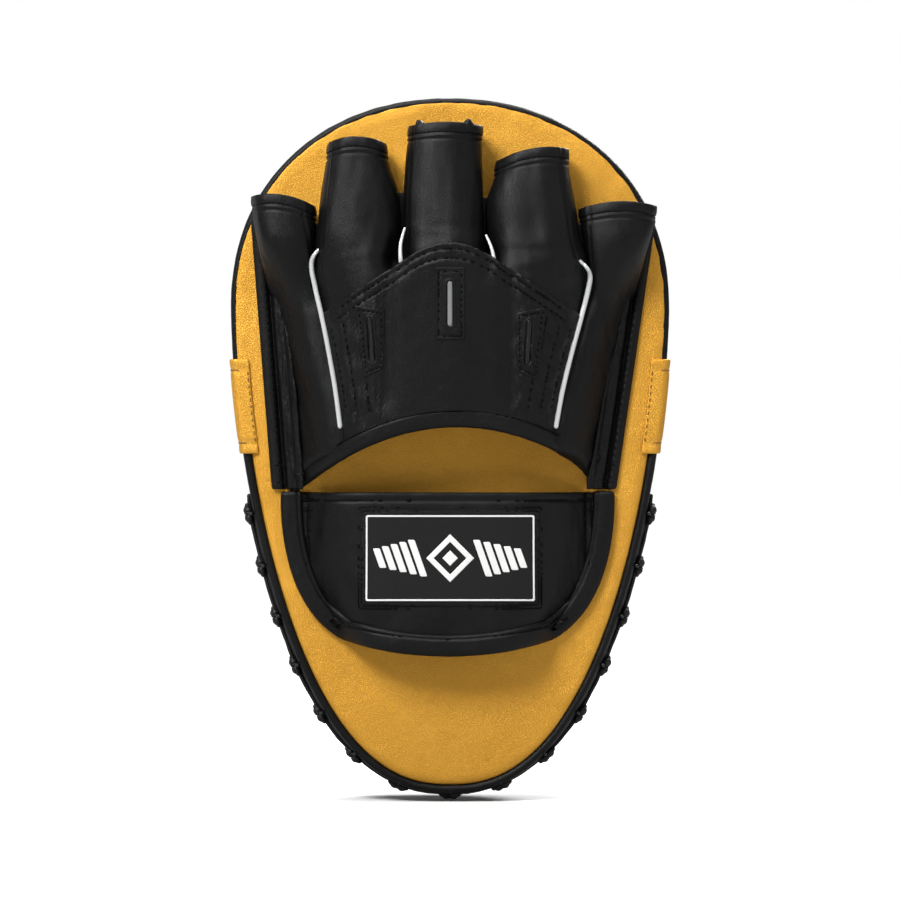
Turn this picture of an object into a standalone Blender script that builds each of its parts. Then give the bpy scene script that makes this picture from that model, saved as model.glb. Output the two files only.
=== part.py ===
"""Focus mitt: a padded boxing target with a five-stall glove and a wrist cuff on its back.

Frame: +Z up, the round tip of the pad lowest, the strike face towards -Y, the hand side
towards +Y.  Units are metres.  The origin is below the middle of the whole mitt's box.
"""

import math

import bmesh
import bpy
import numpy as np

# ---- driving dimensions: the pad ----
HEIGHT = 0.300               # lowest lace hitch to the top of the back welt
HALF_WIDTH = 0.0935          # middle line to the outer edge of the back welt
WIDEST_Z = 0.211             # height at which the pad is widest
PAD_DEPTH = 0.050            # back cover's outer face to the strike cover's outer face
FRONT_INSET_SIDE = 0.0085    # how far the front seam lies inside the back seam, at the sides
FRONT_INSET_TOP = 0.0160     # the same, at the top
FRONT_INSET_TIP = 0.0115     # the same, at the tip
TOP_POWER = 2.15             # roundness of the upper half of the outline
TIP_POWER_X = 2.35           # roundness of the lower half, across
TIP_POWER_Z = 1.72           # roundness of the lower half, along
SIDE_LEAN_POWER = 2.4        # how late the side wall turns in towards the front seam
OUTLINE_POINTS = 64
FINE_POINTS = 720              # outline points where a place along it is looked up
WALL_LEVELS = 6
LACE_POINTS = 46

# ---- driving dimensions: leather, welts, foams ----
GAP = 0.0003                 # clearance between pieces that touch on the real mitt
COVER_THICK = 0.0016
WALL_THICK = 0.0018
BACK_WELT_RADIUS = 0.0019
FRONT_WELT_RADIUS = 0.0012
BACKING_FOAM_THICK = 0.0060
BOARD_THICK = 0.0020
SHOCK_FOAM_THICK = 0.0184
FOAM_EDGE_GAP = 0.0006       # foam edge to the wall's inner face
SHOULDER = 0.0035            # width of the strike cover's rounded edge

# ---- driving dimensions: lace, hitches, tabs ----
LACE_RADIUS = 0.0009
LACE_DEPTH = 0.0062          # lace behind the back face, along the wall
LACE_TOP_Z = 0.131           # where the laced lower half begins
HITCH_HALF = (0.0046, 0.0022, 0.00115)   # half length, half width, half height of a hitch
HITCH_WAIST = 0.22             # how much a hitch narrows between its two lobes
HITCHES_PER_SIDE = 7
HITCH_PITCH = 0.0225         # spacing along the outline
TAB_Z = (0.149, 0.188)       # lower and upper edge of a side tab
TAB_THICK = 0.0012
TAB_LAP = 0.0065             # how far a tab laps onto the back face

# ---- driving dimensions: patches on the strike face ----
PATCH_THICK = 0.0008
OVAL_SIZE = (0.104, 0.063)
OVAL_RING_WIDTH = 0.0032
OVAL_Z = 0.231
DOT_RADIUS = 0.0295
DOT_Z = 0.157
LABEL_SIZE = (0.0314, 0.0466)
LABEL_Z = 0.062
LABEL_CORNER = 0.003

# ---- driving dimensions: the glove ----
GLOVE_LEATHER = 0.0016
GLOVE_RISE = (0.029, 0.0335)   # height of the arch at the hem and at the finger roots
GLOVE_BASE_Z = 0.135           # lower end of the sewn side flanges
ARCH_POWER = 2.2
FLANGE_WIDTH = 0.0115
LEAST_RISE = 0.0016            # narrowest width of the part that rises from the flange
LITTLE_EDGE_X = (0.074, 0.083)     # outer edge of the glove, little-finger side, low and high
THUMB_EDGE_X = (-0.070, -0.0868)   # the same, thumb side
EDGE_TOP_Z = 0.250
HEM_PEAK_Z = 0.160
HEM_DROP = 0.025               # how far the hem's ends lie below its peak
HEM_HALF_SPAN = 0.065
HEM_CENTRE_X = -0.003
HEM_WIDTH = 0.008
HEM_CLEARANCE = 0.0026         # hem to the side panels, where the arch is steep
KNUCKLE_PEAK_Z = 0.2352        # top edge of the hand lining, in the middle
KNUCKLE_SHOULDER_X = 0.0205
FINGER_ROOT_Z = 0.2280         # root line of the ring and index stalls
KNUCKLE_FALL = 0.63            # slope of the knuckle panel's diagonal edges
PIPING_RADIUS = 0.0011
PIPING_SEAM = 0.0017           # piping's centre line to the panel edge beside it
PIPING_LOW = (0.0455, -0.0455)     # long pipings' x at the hem
PIPING_HIGH = (0.0555, -0.0560)    # long pipings' x between the stalls
PIPING_BEND_Z = 0.212
PIPING_TOP_Z = 0.232
SHORT_PIPING_X = 0.0186
SHORT_PIPING_Z = (0.2305, 0.2410)
PANEL_COLUMNS = 21
PANEL_ROWS = 7
SETTLING_STEPS = 6
VENT_SIZE = (0.0118, 0.0295)
VENT_PLACES = {"vent_patch_little": (0.032, 0.196), "vent_patch_middle": (0.0, 0.211),
               "vent_patch_thumb": (-0.033, 0.196)}

# Each stall: root x and z, tip x and z, width and height at the root, width and height at the tip.
STALLS = {
    "little": ((0.0705, 0.2156), (0.0695, 0.2580), (0.0250, 0.0200), (0.0260, 0.0190)),
    "ring": ((0.0368, 0.2284), (0.0390, 0.2820), (0.0316, 0.0265), (0.0262, 0.0210)),
    "middle": ((0.0000, 0.2362), (0.0012, 0.2880), (0.0330, 0.0285), (0.0300, 0.0220)),
    "index": ((-0.0368, 0.2284), (-0.0355, 0.2780), (0.0316, 0.0265), (0.0306, 0.0215)),
    "thumb": ((-0.0715, 0.2156), (-0.0710, 0.2550), (0.0250, 0.0200), (0.0320, 0.0205)),
}
STALL_WALL = 0.0019
STALL_BULGE = 0.0012           # how much a stall swells halfway along
STALL_POWER = 2.4              # squareness of a stall's oval section
TIP_BAND = 0.0035
TIP_BAND_THICK = 0.0009
STALL_LIFT = TIP_BAND_THICK + 3 * GAP   # stall's underside above the back cover

# ---- driving dimensions: the wrist cuff ----
CUFF_TOP_Z = 0.131
CUFF_DEPTH_Z = 0.068           # top edge to the lowest point of the cuff's curve
CUFF_HALF_WIDTH = 0.0705
CUFF_CENTRE_X = 0.001
CUFF_RISE = 0.018
CUFF_FLANGE = 0.009
CUFF_LEATHER = 0.0022
CUFF_BINDING_WIDTH = 0.008
CUFF_LABEL_SIZE = (0.071, 0.037)
CUFF_LABEL_Z = CUFF_TOP_Z - 0.39 * CUFF_DEPTH_Z
CUFF_LABEL_THICK = 0.0008
CUFF_COLUMNS = 21              # grid columns shared by the cuff and its bound edge
CUFF_ROWS = 9
CUFF_SIDE_POWER = 2.2          # how late the cuff's sides turn in
CUFF_FOOT_POWER = 0.29         # how round its foot is
CUFF_FOOT = 0.9                # share of its depth where the sides meet the foot
CUFF_SAG = 0.0955              # the foot's own curve, as a share of the depth
CUFF_ARCH_POWER = 2.8          # how flat the arch is on top

# ---- worked-out places ----
WALL_SEAM = 0.0012             # wall's outer face inside the back welt's outer edge
WALL_START = 2 * BACK_WELT_RADIUS + GAP
WALL_END = PAD_DEPTH - 2 * FRONT_WELT_RADIUS - GAP
LACE_INSET = WALL_SEAM - GAP - LACE_RADIUS
HITCH_LIFT = LACE_RADIUS - LACE_INSET + GAP + HITCH_HALF[2]
HITCH_PROUD = HITCH_LIFT + HITCH_HALF[2]
TIP_Z = HITCH_PROUD
TALLEST = STALL_LIFT + STALLS["middle"][2][1] + STALL_BULGE
FACE_DEPTH = PAD_DEPTH + GAP + PATCH_THICK
ARCH_TALLEST = GLOVE_RISE[1] + GLOVE_LEATHER + GAP + PATCH_THICK
BACK_Y = (FACE_DEPTH - max(TALLEST, ARCH_TALLEST)) / 2

COLLECTION_NAME = "focus_mitt"


def clear_scene():
    """Remove whatever the scene holds and make the mitt's own collection."""
    for item in list(bpy.data.objects):
        bpy.data.objects.remove(item, do_unlink=True)
    collection = bpy.data.collections.new(COLLECTION_NAME)
    bpy.context.scene.collection.children.link(collection)
    return collection


def make_material(name, colour, roughness, metallic=0.0):
    """Principled material with a plain colour."""
    material = bpy.data.materials.new(name)
    material.use_nodes = True
    shader = material.node_tree.nodes["Principled BSDF"]
    shader.inputs["Base Color"].default_value = (*colour, 1.0)
    shader.inputs["Roughness"].default_value = roughness
    shader.inputs["Metallic"].default_value = metallic
    return material


def add_object(name, data, finish, parent=None):
    """Link a mesh or curve as a named sub-part, under its hinge empty if it has one."""
    item = bpy.data.objects.new(name, data)
    data.materials.append(FINISHES[finish])
    PARTS.objects.link(item)
    if parent is not None:
        item.parent = parent
        item.matrix_parent_inverse = parent.matrix_world.inverted()
    return item


def mesh_from(name, points, faces):
    """Mesh with its faces turned outwards, shaded smooth up to a crease of 40 degrees."""
    mesh = bpy.data.meshes.new(name)
    mesh.from_pydata([tuple(point) for point in points], [], faces)
    build = bmesh.new()
    build.from_mesh(mesh)
    bmesh.ops.recalc_face_normals(build, faces=build.faces)
    build.to_mesh(mesh)
    build.free()
    mesh.shade_smooth()
    mesh.set_sharp_from_angle(angle=math.radians(40))
    return mesh


def loft(name, rings, finish, parent=None):
    """Solid through closed rings of equal length, capped at both ends."""
    count = len(rings[0])
    points = np.concatenate(rings)
    faces = []
    for level in range(len(rings) - 1):
        for index in range(count):
            after = (index + 1) % count
            low = level * count
            faces.append((low + index, low + after, low + count + after, low + count + index))
    faces.append(tuple(reversed(range(count))))
    faces.append(tuple(range((len(rings) - 1) * count, len(rings) * count)))
    return add_object(name, mesh_from(name, points, faces), finish, parent)


def sheet(name, grid, thickness, finish, parent=None, side=1.0, wrap=False):
    """Leather sheet: an open grid of points given a thickness on one side by Solidify.

    The grid's own face normals point along `side`; the thickness goes the other way.
    """
    rows, columns = grid.shape[:2]
    faces = []
    for row in range(rows - 1):
        for column in range(columns if wrap else columns - 1):
            after = (column + 1) % columns
            corner = (row * columns + column, row * columns + after,
                      (row + 1) * columns + after, (row + 1) * columns + column)
            faces.append(corner if side > 0 else tuple(reversed(corner)))
    mesh = bpy.data.meshes.new(name)
    mesh.from_pydata([tuple(point) for point in grid.reshape(-1, 3)], [], faces)
    mesh.shade_smooth()
    item = add_object(name, mesh, finish, parent)
    solidify = item.modifiers.new("thickness", "SOLIDIFY")
    solidify.thickness = thickness
    solidify.offset = -1.0
    return item


def tube(name, points, radius, finish, cyclic=False, resolution=2, parent=None):
    """Round cord through the given points."""
    curve = bpy.data.curves.new(name, "CURVE")
    curve.dimensions = "3D"
    curve.bevel_depth = radius
    curve.bevel_resolution = resolution
    curve.use_fill_caps = True
    spline = curve.splines.new("POLY")
    spline.points.add(len(points) - 1)
    for target, point in zip(spline.points, points):
        target.co = (*point, 1.0)
    spline.use_cyclic_u = cyclic
    spline.use_smooth = True
    return add_object(name, curve, finish, parent)


def flat_patch(name, outlines, centre_z, finish):
    """Flat patch on the strike face: filled outlines, the second one a hole."""
    curve = bpy.data.curves.new(name, "CURVE")
    curve.dimensions = "2D"
    curve.fill_mode = "BOTH"
    curve.extrude = PATCH_THICK / 2
    for outline in outlines:
        spline = curve.splines.new("POLY")
        spline.points.add(len(outline) - 1)
        for target, (x, z) in zip(spline.points, outline):
            target.co = (x, z, 0.0, 1.0)
        spline.use_cyclic_u = True
    item = add_object(name, curve, finish)
    item.rotation_euler = (math.pi / 2, 0.0, 0.0)
    item.location = (0.0, BACK_Y - PAD_DEPTH - GAP - PATCH_THICK / 2, centre_z)
    return item


# ---- the pad's outline ----


def even_spacing(points, count, closed=True):
    """Resample a line to points evenly spaced along its length."""
    line = np.vstack([points, points[:1]]) if closed else points
    steps = np.linalg.norm(np.diff(line, axis=0), axis=1)
    travelled = np.concatenate([[0.0], np.cumsum(steps)])
    wanted = np.linspace(0.0, travelled[-1], count, endpoint=not closed)
    return np.stack([np.interp(wanted, travelled, line[:, axis]) for axis in range(line.shape[1])], 1)


def pad_outline(inset_side, inset_top=None, inset_tip=None, count=OUTLINE_POINTS):
    """The pad's egg outline in x and z, from the tip anticlockwise.

    Above the widest line it is a superellipse of one power; below it the powers across
    and along differ, which draws the long narrow tip.
    """
    inset_top = inset_side if inset_top is None else inset_top
    inset_tip = inset_side if inset_tip is None else inset_tip
    half = HALF_WIDTH - inset_side
    rise = HEIGHT - WIDEST_Z - inset_top
    fall = WIDEST_Z - TIP_Z - inset_tip
    angle = np.linspace(-math.pi / 2, 1.5 * math.pi, 2 * FINE_POINTS, endpoint=False)
    across = np.cos(angle)
    along = np.sin(angle)
    upper = along >= 0
    x_power = np.where(upper, 2 / TOP_POWER, 2 / TIP_POWER_X)
    z_power = np.where(upper, 2 / TOP_POWER, 2 / TIP_POWER_Z)
    x = half * np.sign(across) * np.abs(across) ** x_power
    z = WIDEST_Z + np.where(upper, rise, fall) * np.sign(along) * np.abs(along) ** z_power
    return even_spacing(np.stack([x, z], 1), count)


def section(depth, extra=0.0, count=OUTLINE_POINTS):
    """Ring of the pad at a depth in front of the back face, `extra` inside the wall's face."""
    share = (max(depth, 0.0) / PAD_DEPTH) ** SIDE_LEAN_POWER
    outline = pad_outline(extra + share * FRONT_INSET_SIDE, extra + share * FRONT_INSET_TOP,
                          extra + share * FRONT_INSET_TIP, count)
    return np.stack([outline[:, 0], np.full(len(outline), BACK_Y - depth), outline[:, 1]], 1)


def seam_place(height, side):
    """Index of the outline point nearest a height, on the +X or the -X side."""
    ring = section(0.0)
    candidates = [i for i in range(len(ring)) if ring[i, 0] * side > 0]
    return min(candidates, key=lambda i: abs(ring[i, 2] - height))


# ---- the pad ----


def build_covers():
    """Back cover and strike cover."""
    back_edge = 2 * BACK_WELT_RADIUS + GAP
    loft("back_cover", [section(COVER_THICK, back_edge), section(0.0, back_edge)], "gold")
    face_edge = WALL_SEAM + FRONT_WELT_RADIUS + GAP
    soften = SHOULDER * (1 - math.cos(math.pi / 4))
    rings = [
        section(PAD_DEPTH - COVER_THICK, face_edge),
        section(PAD_DEPTH - soften / 2, face_edge + soften),
        section(PAD_DEPTH, face_edge + SHOULDER),
    ]
    loft("strike_cover", rings[::-1], "gold")


def build_foams():
    """The layers inside, from the hand side: foam, board, soft foam, dense impact foam."""
    inside = WALL_SEAM + WALL_THICK + FOAM_EDGE_GAP
    clear_of_welt = max(inside, 2 * BACK_WELT_RADIUS + GAP)
    depth = COVER_THICK + GAP
    layers = (("backing_foam", BACKING_FOAM_THICK, "foam"), ("stiffener_board", BOARD_THICK, "board"),
              ("shock_foam", SHOCK_FOAM_THICK, "foam"))
    for name, thickness, finish in layers:
        loft(name, [section(depth + thickness, clear_of_welt), section(depth, clear_of_welt)], finish)
        depth += thickness + GAP
    face = PAD_DEPTH - COVER_THICK - GAP
    levels = np.linspace(face, depth, 4)
    edges = [clear_of_welt + SHOULDER] + [clear_of_welt] * 3
    rings = [section(level, edge) for level, edge in zip(levels, edges)]
    loft("impact_foam", rings, "dense_foam")


def build_walls():
    """Upper and lower side wall, parted behind the two side tabs."""
    tab_middle = sum(TAB_Z) / 2
    right = seam_place(tab_middle, 1)
    left = seam_place(tab_middle, -1)
    levels = np.linspace(WALL_START, WALL_END, WALL_LEVELS)
    rings = np.stack([section(level, WALL_SEAM) for level in levels])
    upper = rings[:, right:left + 1].copy()
    lower_order = list(range(left, OUTLINE_POINTS)) + list(range(0, right + 1))
    lower = rings[:, lower_order].copy()
    upper[:, [0, -1], 2] += GAP
    lower[:, [0, -1], 2] -= GAP
    sheet("upper_side_wall", upper, WALL_THICK, "printed_black")
    sheet("lower_side_wall", lower, WALL_THICK, "black")


def build_welts():
    """Rolled welt in the back seam and the thin welt in the front seam."""
    back = section(BACK_WELT_RADIUS, BACK_WELT_RADIUS)
    tube("back_welt", back, BACK_WELT_RADIUS, "black", cyclic=True)
    front = section(PAD_DEPTH - FRONT_WELT_RADIUS - GAP, WALL_SEAM)
    tube("front_welt", front, FRONT_WELT_RADIUS, "black", cyclic=True, resolution=1)


def tab_profile():
    """A tab's inner line: from the back face over the back welt and down the side wall.

    Each row is the distance inside the welt's outer edge and the depth in front of the back face.
    """
    lift = GAP + TAB_THICK
    lap = [(TAB_LAP, -lift), (2 * BACK_WELT_RADIUS, -lift), (BACK_WELT_RADIUS, -lift),
           (0.0, -lift / 2), (-lift, 0.4 * BACK_WELT_RADIUS), (-lift, 2 * BACK_WELT_RADIUS)]
    run = [(WALL_SEAM - lift, depth) for depth in np.linspace(3 * BACK_WELT_RADIUS, WALL_END, 6)]
    return lap + run


def build_tabs():
    """Leather tabs that wrap the back seam and the side wall at each side."""
    heights = np.linspace(*TAB_Z, 5)
    for name, side in (("side_tab_little", 1), ("side_tab_thumb", -1)):
        rows = []
        for inset, depth in tab_profile():
            ring = section(depth, inset, FINE_POINTS)
            half = ring[ring[:, 0] * side > 0]
            order = np.argsort(half[:, 2])
            x = np.interp(heights, half[order, 2], half[order, 0])
            y = BACK_Y - depth
            rows.append(np.stack([x, np.full(len(heights), y), heights], 1))
        sheet(name, np.stack(rows), TAB_THICK, "gold", side=side)


def build_lace():
    """Lace along the lower half of the side wall, from one side round the tip to the other."""
    ring = section(LACE_DEPTH, LACE_INSET, FINE_POINTS)
    below = ring[:, 2] < LACE_TOP_Z
    rises_past = np.argmin(below)
    falls_past = len(ring) - np.argmin(below[::-1])
    path = np.vstack([ring[falls_past:], ring[:rises_past]])
    tube("seam_lace", even_spacing(path, LACE_POINTS, closed=False), LACE_RADIUS, "black", resolution=1)


def build_hitch(name, ring, place):
    """One hitch: two soft lobes of lace across the seam, at a place along the outline."""
    build = bmesh.new()
    bmesh.ops.create_uvsphere(build, u_segments=10, v_segments=7, radius=1.0)
    before = ring[(place - 1) % len(ring)]
    after = ring[(place + 1) % len(ring)]
    along = (after - before) / np.linalg.norm(after - before)
    forward = np.array([0.0, -1.0, 0.0])
    outward = np.cross(along, forward)
    for vertex in build.verts:
        reach, width, height = vertex.co.z, vertex.co.y, vertex.co.x
        waist = 1.0 - HITCH_WAIST * math.exp(-(reach / 0.3) ** 2)
        offset = along * reach * HITCH_HALF[0] + forward * width * HITCH_HALF[1] * waist
        offset = offset + outward * height * HITCH_HALF[2] * waist
        vertex.co = ring[place] + outward * HITCH_LIFT + offset
    mesh = bpy.data.meshes.new(name)
    build.normal_update()
    bmesh.ops.recalc_face_normals(build, faces=build.faces)
    build.to_mesh(mesh)
    build.free()
    mesh.shade_smooth()
    add_object(name, mesh, "black")


def build_hitches():
    """Hitches from the tip up both sides at an even pitch."""
    ring = section(LACE_DEPTH, 0.0, FINE_POINTS)
    length = np.linalg.norm(np.diff(np.vstack([ring, ring[:1]]), axis=0), axis=1).sum()
    step = HITCH_PITCH / length * FINE_POINTS
    for number in range(2 * HITCHES_PER_SIDE + 1):
        place = round((number - HITCHES_PER_SIDE) * step) % FINE_POINTS
        build_hitch(f"lace_hitch_{number + 1:02d}", ring, place)


# ---- patches on the strike face ----


def ellipse(width, height, count=48):
    """Points of an ellipse."""
    angle = np.linspace(0.0, 2 * math.pi, count, endpoint=False)
    return np.stack([width / 2 * np.cos(angle), height / 2 * np.sin(angle)], 1)


def rounded_rectangle(width, height, corner, steps=4):
    """Points of a rectangle with round corners."""
    points = []
    for quarter in range(4):
        centre_x = (width / 2 - corner) * (1 if quarter in (0, 3) else -1)
        centre_y = (height / 2 - corner) * (1 if quarter in (0, 1) else -1)
        for angle in np.linspace(0, math.pi / 2, steps) + quarter * math.pi / 2:
            points.append((centre_x + corner * math.cos(angle), centre_y + corner * math.sin(angle)))
    return np.array(points)


def build_patches():
    """Ring and field of the oval badge, the aiming dot and the maker's label."""
    inner = (OVAL_SIZE[0] - 2 * OVAL_RING_WIDTH, OVAL_SIZE[1] - 2 * OVAL_RING_WIDTH)
    flat_patch("oval_ring", [ellipse(*OVAL_SIZE), ellipse(*inner)], OVAL_Z, "red")
    flat_patch("oval_field", [ellipse(inner[0] - 2 * GAP, inner[1] - 2 * GAP)], OVAL_Z, "white")
    flat_patch("target_dot", [ellipse(2 * DOT_RADIUS, 2 * DOT_RADIUS)], DOT_Z, "white")
    label = rounded_rectangle(*LABEL_SIZE, LABEL_CORNER)
    flat_patch("maker_label", [label], LABEL_Z, "label")


# ---- the glove ----


def edge_x(z, ends):
    """Outer edge of the glove at a height: a line leaning outwards going up."""
    share = (z - GLOVE_BASE_Z) / (EDGE_TOP_Z - GLOVE_BASE_Z)
    return ends[0] + (ends[1] - ends[0]) * share


def glove_height(x, z):
    """Height of the glove's outer face over the back cover.

    Across, it is a cosine arch between the two sewn flanges; along, its rise grows from the
    hem to the finger roots.  Beyond the arch it is the flat flange.
    """
    high = edge_x(z, LITTLE_EDGE_X) - FLANGE_WIDTH
    low = edge_x(z, THUMB_EDGE_X) + FLANGE_WIDTH
    share = np.clip(np.abs((x - (high + low) / 2) / ((high - low) / 2)), 0.0, 1.0)
    along = np.clip((z - HEM_PEAK_Z) / (FINGER_ROOT_Z - HEM_PEAK_Z), -0.4, 1.0)
    rise = GLOVE_RISE[0] + (GLOVE_RISE[1] - GLOVE_RISE[0]) * along
    base = GAP + GLOVE_LEATHER
    return base + (rise - base) * np.cos(math.pi / 2 * share ** ARCH_POWER)


def raise_surface(height, x, z, lift):
    """Points of a height field, moved by `lift` along its own normal."""
    step = 0.0004
    slope_x = (height(x + step, z) - height(x - step, z)) / (2 * step)
    slope_z = (height(x, z + step) - height(x, z - step)) / (2 * step)
    length = np.sqrt(slope_x ** 2 + slope_z ** 2 + 1)
    y = height(x, z) + lift / length
    return np.stack([x - lift * slope_x / length, BACK_Y + y, z - lift * slope_z / length], -1)


def hem_z(x):
    """Lower edge of the hem: a parabola that peaks in the middle."""
    return HEM_PEAK_Z - HEM_DROP * ((x - HEM_CENTRE_X) / HEM_HALF_SPAN) ** 2


def piping_x(z, side):
    """Centre line of a long white piping: straight up the seam, then upright between stalls."""
    low = PIPING_LOW[side]
    high = PIPING_HIGH[side]
    share = np.clip((z - HEM_PEAK_Z) / (PIPING_BEND_Z - HEM_PEAK_Z), -0.5, 1.0)
    return low + (high - low) * np.sin(np.clip(share, -1.0, 1.0) * math.pi / 2)


def lining_top(x):
    """Top edge of the hand lining: an arch over the middle finger, level beyond it."""
    share = np.clip(np.abs(x) / KNUCKLE_SHOULDER_X, 0.0, 1.0)
    return KNUCKLE_PEAK_Z - (KNUCKLE_PEAK_Z - FINGER_ROOT_Z) * share ** 2


def knuckle_top(x):
    """Top edge of the knuckle panel: the same arch, then diagonals down to the pipings."""
    beyond = np.clip(np.abs(x) - KNUCKLE_SHOULDER_X, 0.0, None)
    return lining_top(x) - KNUCKLE_FALL * beyond


def panel_between_pipings(top, lift):
    """Grid between the two long pipings, from the hem up to a top edge.

    The pipings' x depends on z and the hem's z on x, so the two settle in a few steps.
    """
    across = np.linspace(0.0, 1.0, PANEL_COLUMNS)
    up = np.linspace(0.0, 1.0, PANEL_ROWS)[:, None]
    z = np.full((PANEL_ROWS, PANEL_COLUMNS), HEM_PEAK_Z)
    for _ in range(SETTLING_STEPS):
        right = piping_x(z, 1) + PIPING_SEAM
        left = piping_x(z, 0) - PIPING_SEAM
        x = left + (right - left) * across
        bottom = hem_z(x) + HEM_WIDTH + GAP
        z = bottom + (top(x) - bottom) * up
    return raise_surface(glove_height, x, z, lift)


def build_hand_panels():
    """Hand lining and, sewn over it, the knuckle panel."""
    lining = panel_between_pipings(lambda x: lining_top(x) - GAP, 0.0)
    sheet("hand_lining", lining, GLOVE_LEATHER, "lining")
    knuckle = panel_between_pipings(lambda x: knuckle_top(x) - GAP, GAP + GLOVE_LEATHER)
    sheet("knuckle_panel", knuckle, GLOVE_LEATHER, "black")


def build_side_panels():
    """Side panels: a flange sewn flat to the back cover that rises to the long piping."""
    top = STALLS["little"][0][1] - 2 * GAP
    z = np.linspace(GLOVE_BASE_Z, top, 12)[:, None]
    places = (("side_panel_little", LITTLE_EDGE_X, 0, 1), ("side_panel_thumb", THUMB_EDGE_X, 1, -1))
    for name, ends, side, sign in places:
        outer = edge_x(z, ends)
        flange = outer - sign * FLANGE_WIDTH
        hem_share = np.clip((HEM_PEAK_Z + HEM_WIDTH + HEM_CLEARANCE - z) / HEM_DROP, 0.0, None)
        hem_edge = HEM_CENTRE_X + sign * HEM_HALF_SPAN * np.sqrt(hem_share)
        seam = piping_x(z, side) + sign * PIPING_SEAM
        inner = sign * np.minimum(np.maximum(sign * seam, sign * hem_edge), sign * flange)
        fold = inner + sign * np.maximum(np.abs(flange - inner), LEAST_RISE)
        rising = inner + (fold - inner) * np.linspace(0.0, 1.0, 5)
        flat = fold + (outer - fold) * np.array([0.5, 1.0])
        x = np.concatenate([rising, flat], 1)
        grid = raise_surface(glove_height, x, np.broadcast_to(z, x.shape), 0.0)
        sheet(name, grid, GLOVE_LEATHER, "black", side=-sign)


def build_hem():
    """Bound lower edge of the glove, bridging the hand between the two flanges."""
    high = edge_x(GLOVE_BASE_Z, LITTLE_EDGE_X) - FLANGE_WIDTH - 4 * GAP
    low = edge_x(GLOVE_BASE_Z, THUMB_EDGE_X) + FLANGE_WIDTH + 4 * GAP
    x = np.linspace(high, low, 25)
    up = np.linspace(0.0, 1.0, 3)[:, None]
    z = hem_z(x) + HEM_WIDTH * up
    grid = raise_surface(glove_height, np.broadcast_to(x, z.shape), z, 0.0)
    sheet("hand_hem", grid, 2 * GLOVE_LEATHER, "black")


def build_pipings():
    """Long pipings beside the knuckle panel and short ones beside the middle stall."""
    for name, side in (("long_piping_little", 0), ("long_piping_thumb", 1)):
        foot = float(hem_z(piping_x(HEM_PEAK_Z, side))) + HEM_WIDTH + PIPING_RADIUS + GAP
        z = np.linspace(foot, PIPING_TOP_Z, 15)
        points = raise_surface(glove_height, piping_x(z, side), z, 0.0)
        tube(name, points, PIPING_RADIUS, "white_piping", resolution=1)
    for name, sign in (("short_piping_ring", 1), ("short_piping_index", -1)):
        z = np.linspace(*SHORT_PIPING_Z, 5)
        x = np.full(len(z), sign * SHORT_PIPING_X)
        points = raise_surface(glove_height, x, z, -2 * GLOVE_LEATHER)
        tube(name, points, PIPING_RADIUS - GAP, "white_piping", resolution=1)


def build_vents():
    """Three small vent patches sewn onto the knuckle panel."""
    for name, (centre_x, centre_z) in VENT_PLACES.items():
        x = np.linspace(VENT_SIZE[0] / 2, -VENT_SIZE[0] / 2, 5) + centre_x
        z = (np.linspace(-VENT_SIZE[1] / 2, VENT_SIZE[1] / 2, 4) + centre_z)[:, None]
        shape = (len(z), len(x))
        lift = GLOVE_LEATHER + 2 * GAP + PATCH_THICK + GAP
        grid = raise_surface(glove_height, np.broadcast_to(x, shape), np.broadcast_to(z, shape), lift)
        sheet(name, grid, PATCH_THICK, "black")


# ---- the finger stalls ----


def stall_ring(stall, share, grow=0.0, count=18):
    """Cross-section of a stall at a share of its length: an oval lying on the back cover."""
    (root_x, root_z), (tip_x, tip_z), root_size, tip_size = STALLS[stall]
    swell = STALL_BULGE * math.sin(math.pi * share)
    width = root_size[0] + (tip_size[0] - root_size[0]) * share + 2 * grow
    height = root_size[1] + (tip_size[1] - root_size[1]) * share + swell + 2 * grow
    centre_x = root_x + (tip_x - root_x) * share
    centre_z = root_z + (tip_z - root_z) * share
    centre_y = BACK_Y + STALL_LIFT + height / 2 - grow
    angle = np.linspace(0.0, 2 * math.pi, count, endpoint=False)
    power = 2 / STALL_POWER
    across = np.sign(np.cos(angle)) * np.abs(np.cos(angle)) ** power
    lift = np.sign(np.sin(angle)) * np.abs(np.sin(angle)) ** power
    x = centre_x + width / 2 * across
    y = centre_y + height / 2 * lift
    return np.stack([x, y, np.full(count, centre_z)], 1)


def build_stalls():
    """Five finger stalls on their flex hinges, each with a bound tip."""
    for stall, (root, tip, root_size, _) in STALLS.items():
        hinge = bpy.data.objects.new(f"{stall}_hinge", None)
        hinge.location = (root[0], BACK_Y + STALL_LIFT + root_size[1], root[1] - GAP)
        PARTS.objects.link(hinge)
        bpy.context.view_layer.update()
        rings = np.stack([stall_ring(stall, share) for share in np.linspace(0.0, 1.0, 6)])
        sheet(f"{stall}_stall", rings, STALL_WALL, "black", hinge, wrap=True)
        length = tip[1] - root[1]
        first = 1.0 - TIP_BAND / length
        band = [stall_ring(stall, share, TIP_BAND_THICK + GAP) for share in (first, 1.0)]
        sheet(f"{stall}_tip_band", np.stack(band), TIP_BAND_THICK, "black", hinge, wrap=True)


# ---- the wrist cuff ----


def cuff_half_width(drop):
    """Half-width of the cuff at a share of its drop: straight sides into a round foot."""
    return CUFF_HALF_WIDTH * (1 - drop ** CUFF_SIDE_POWER) ** CUFF_FOOT_POWER


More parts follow.
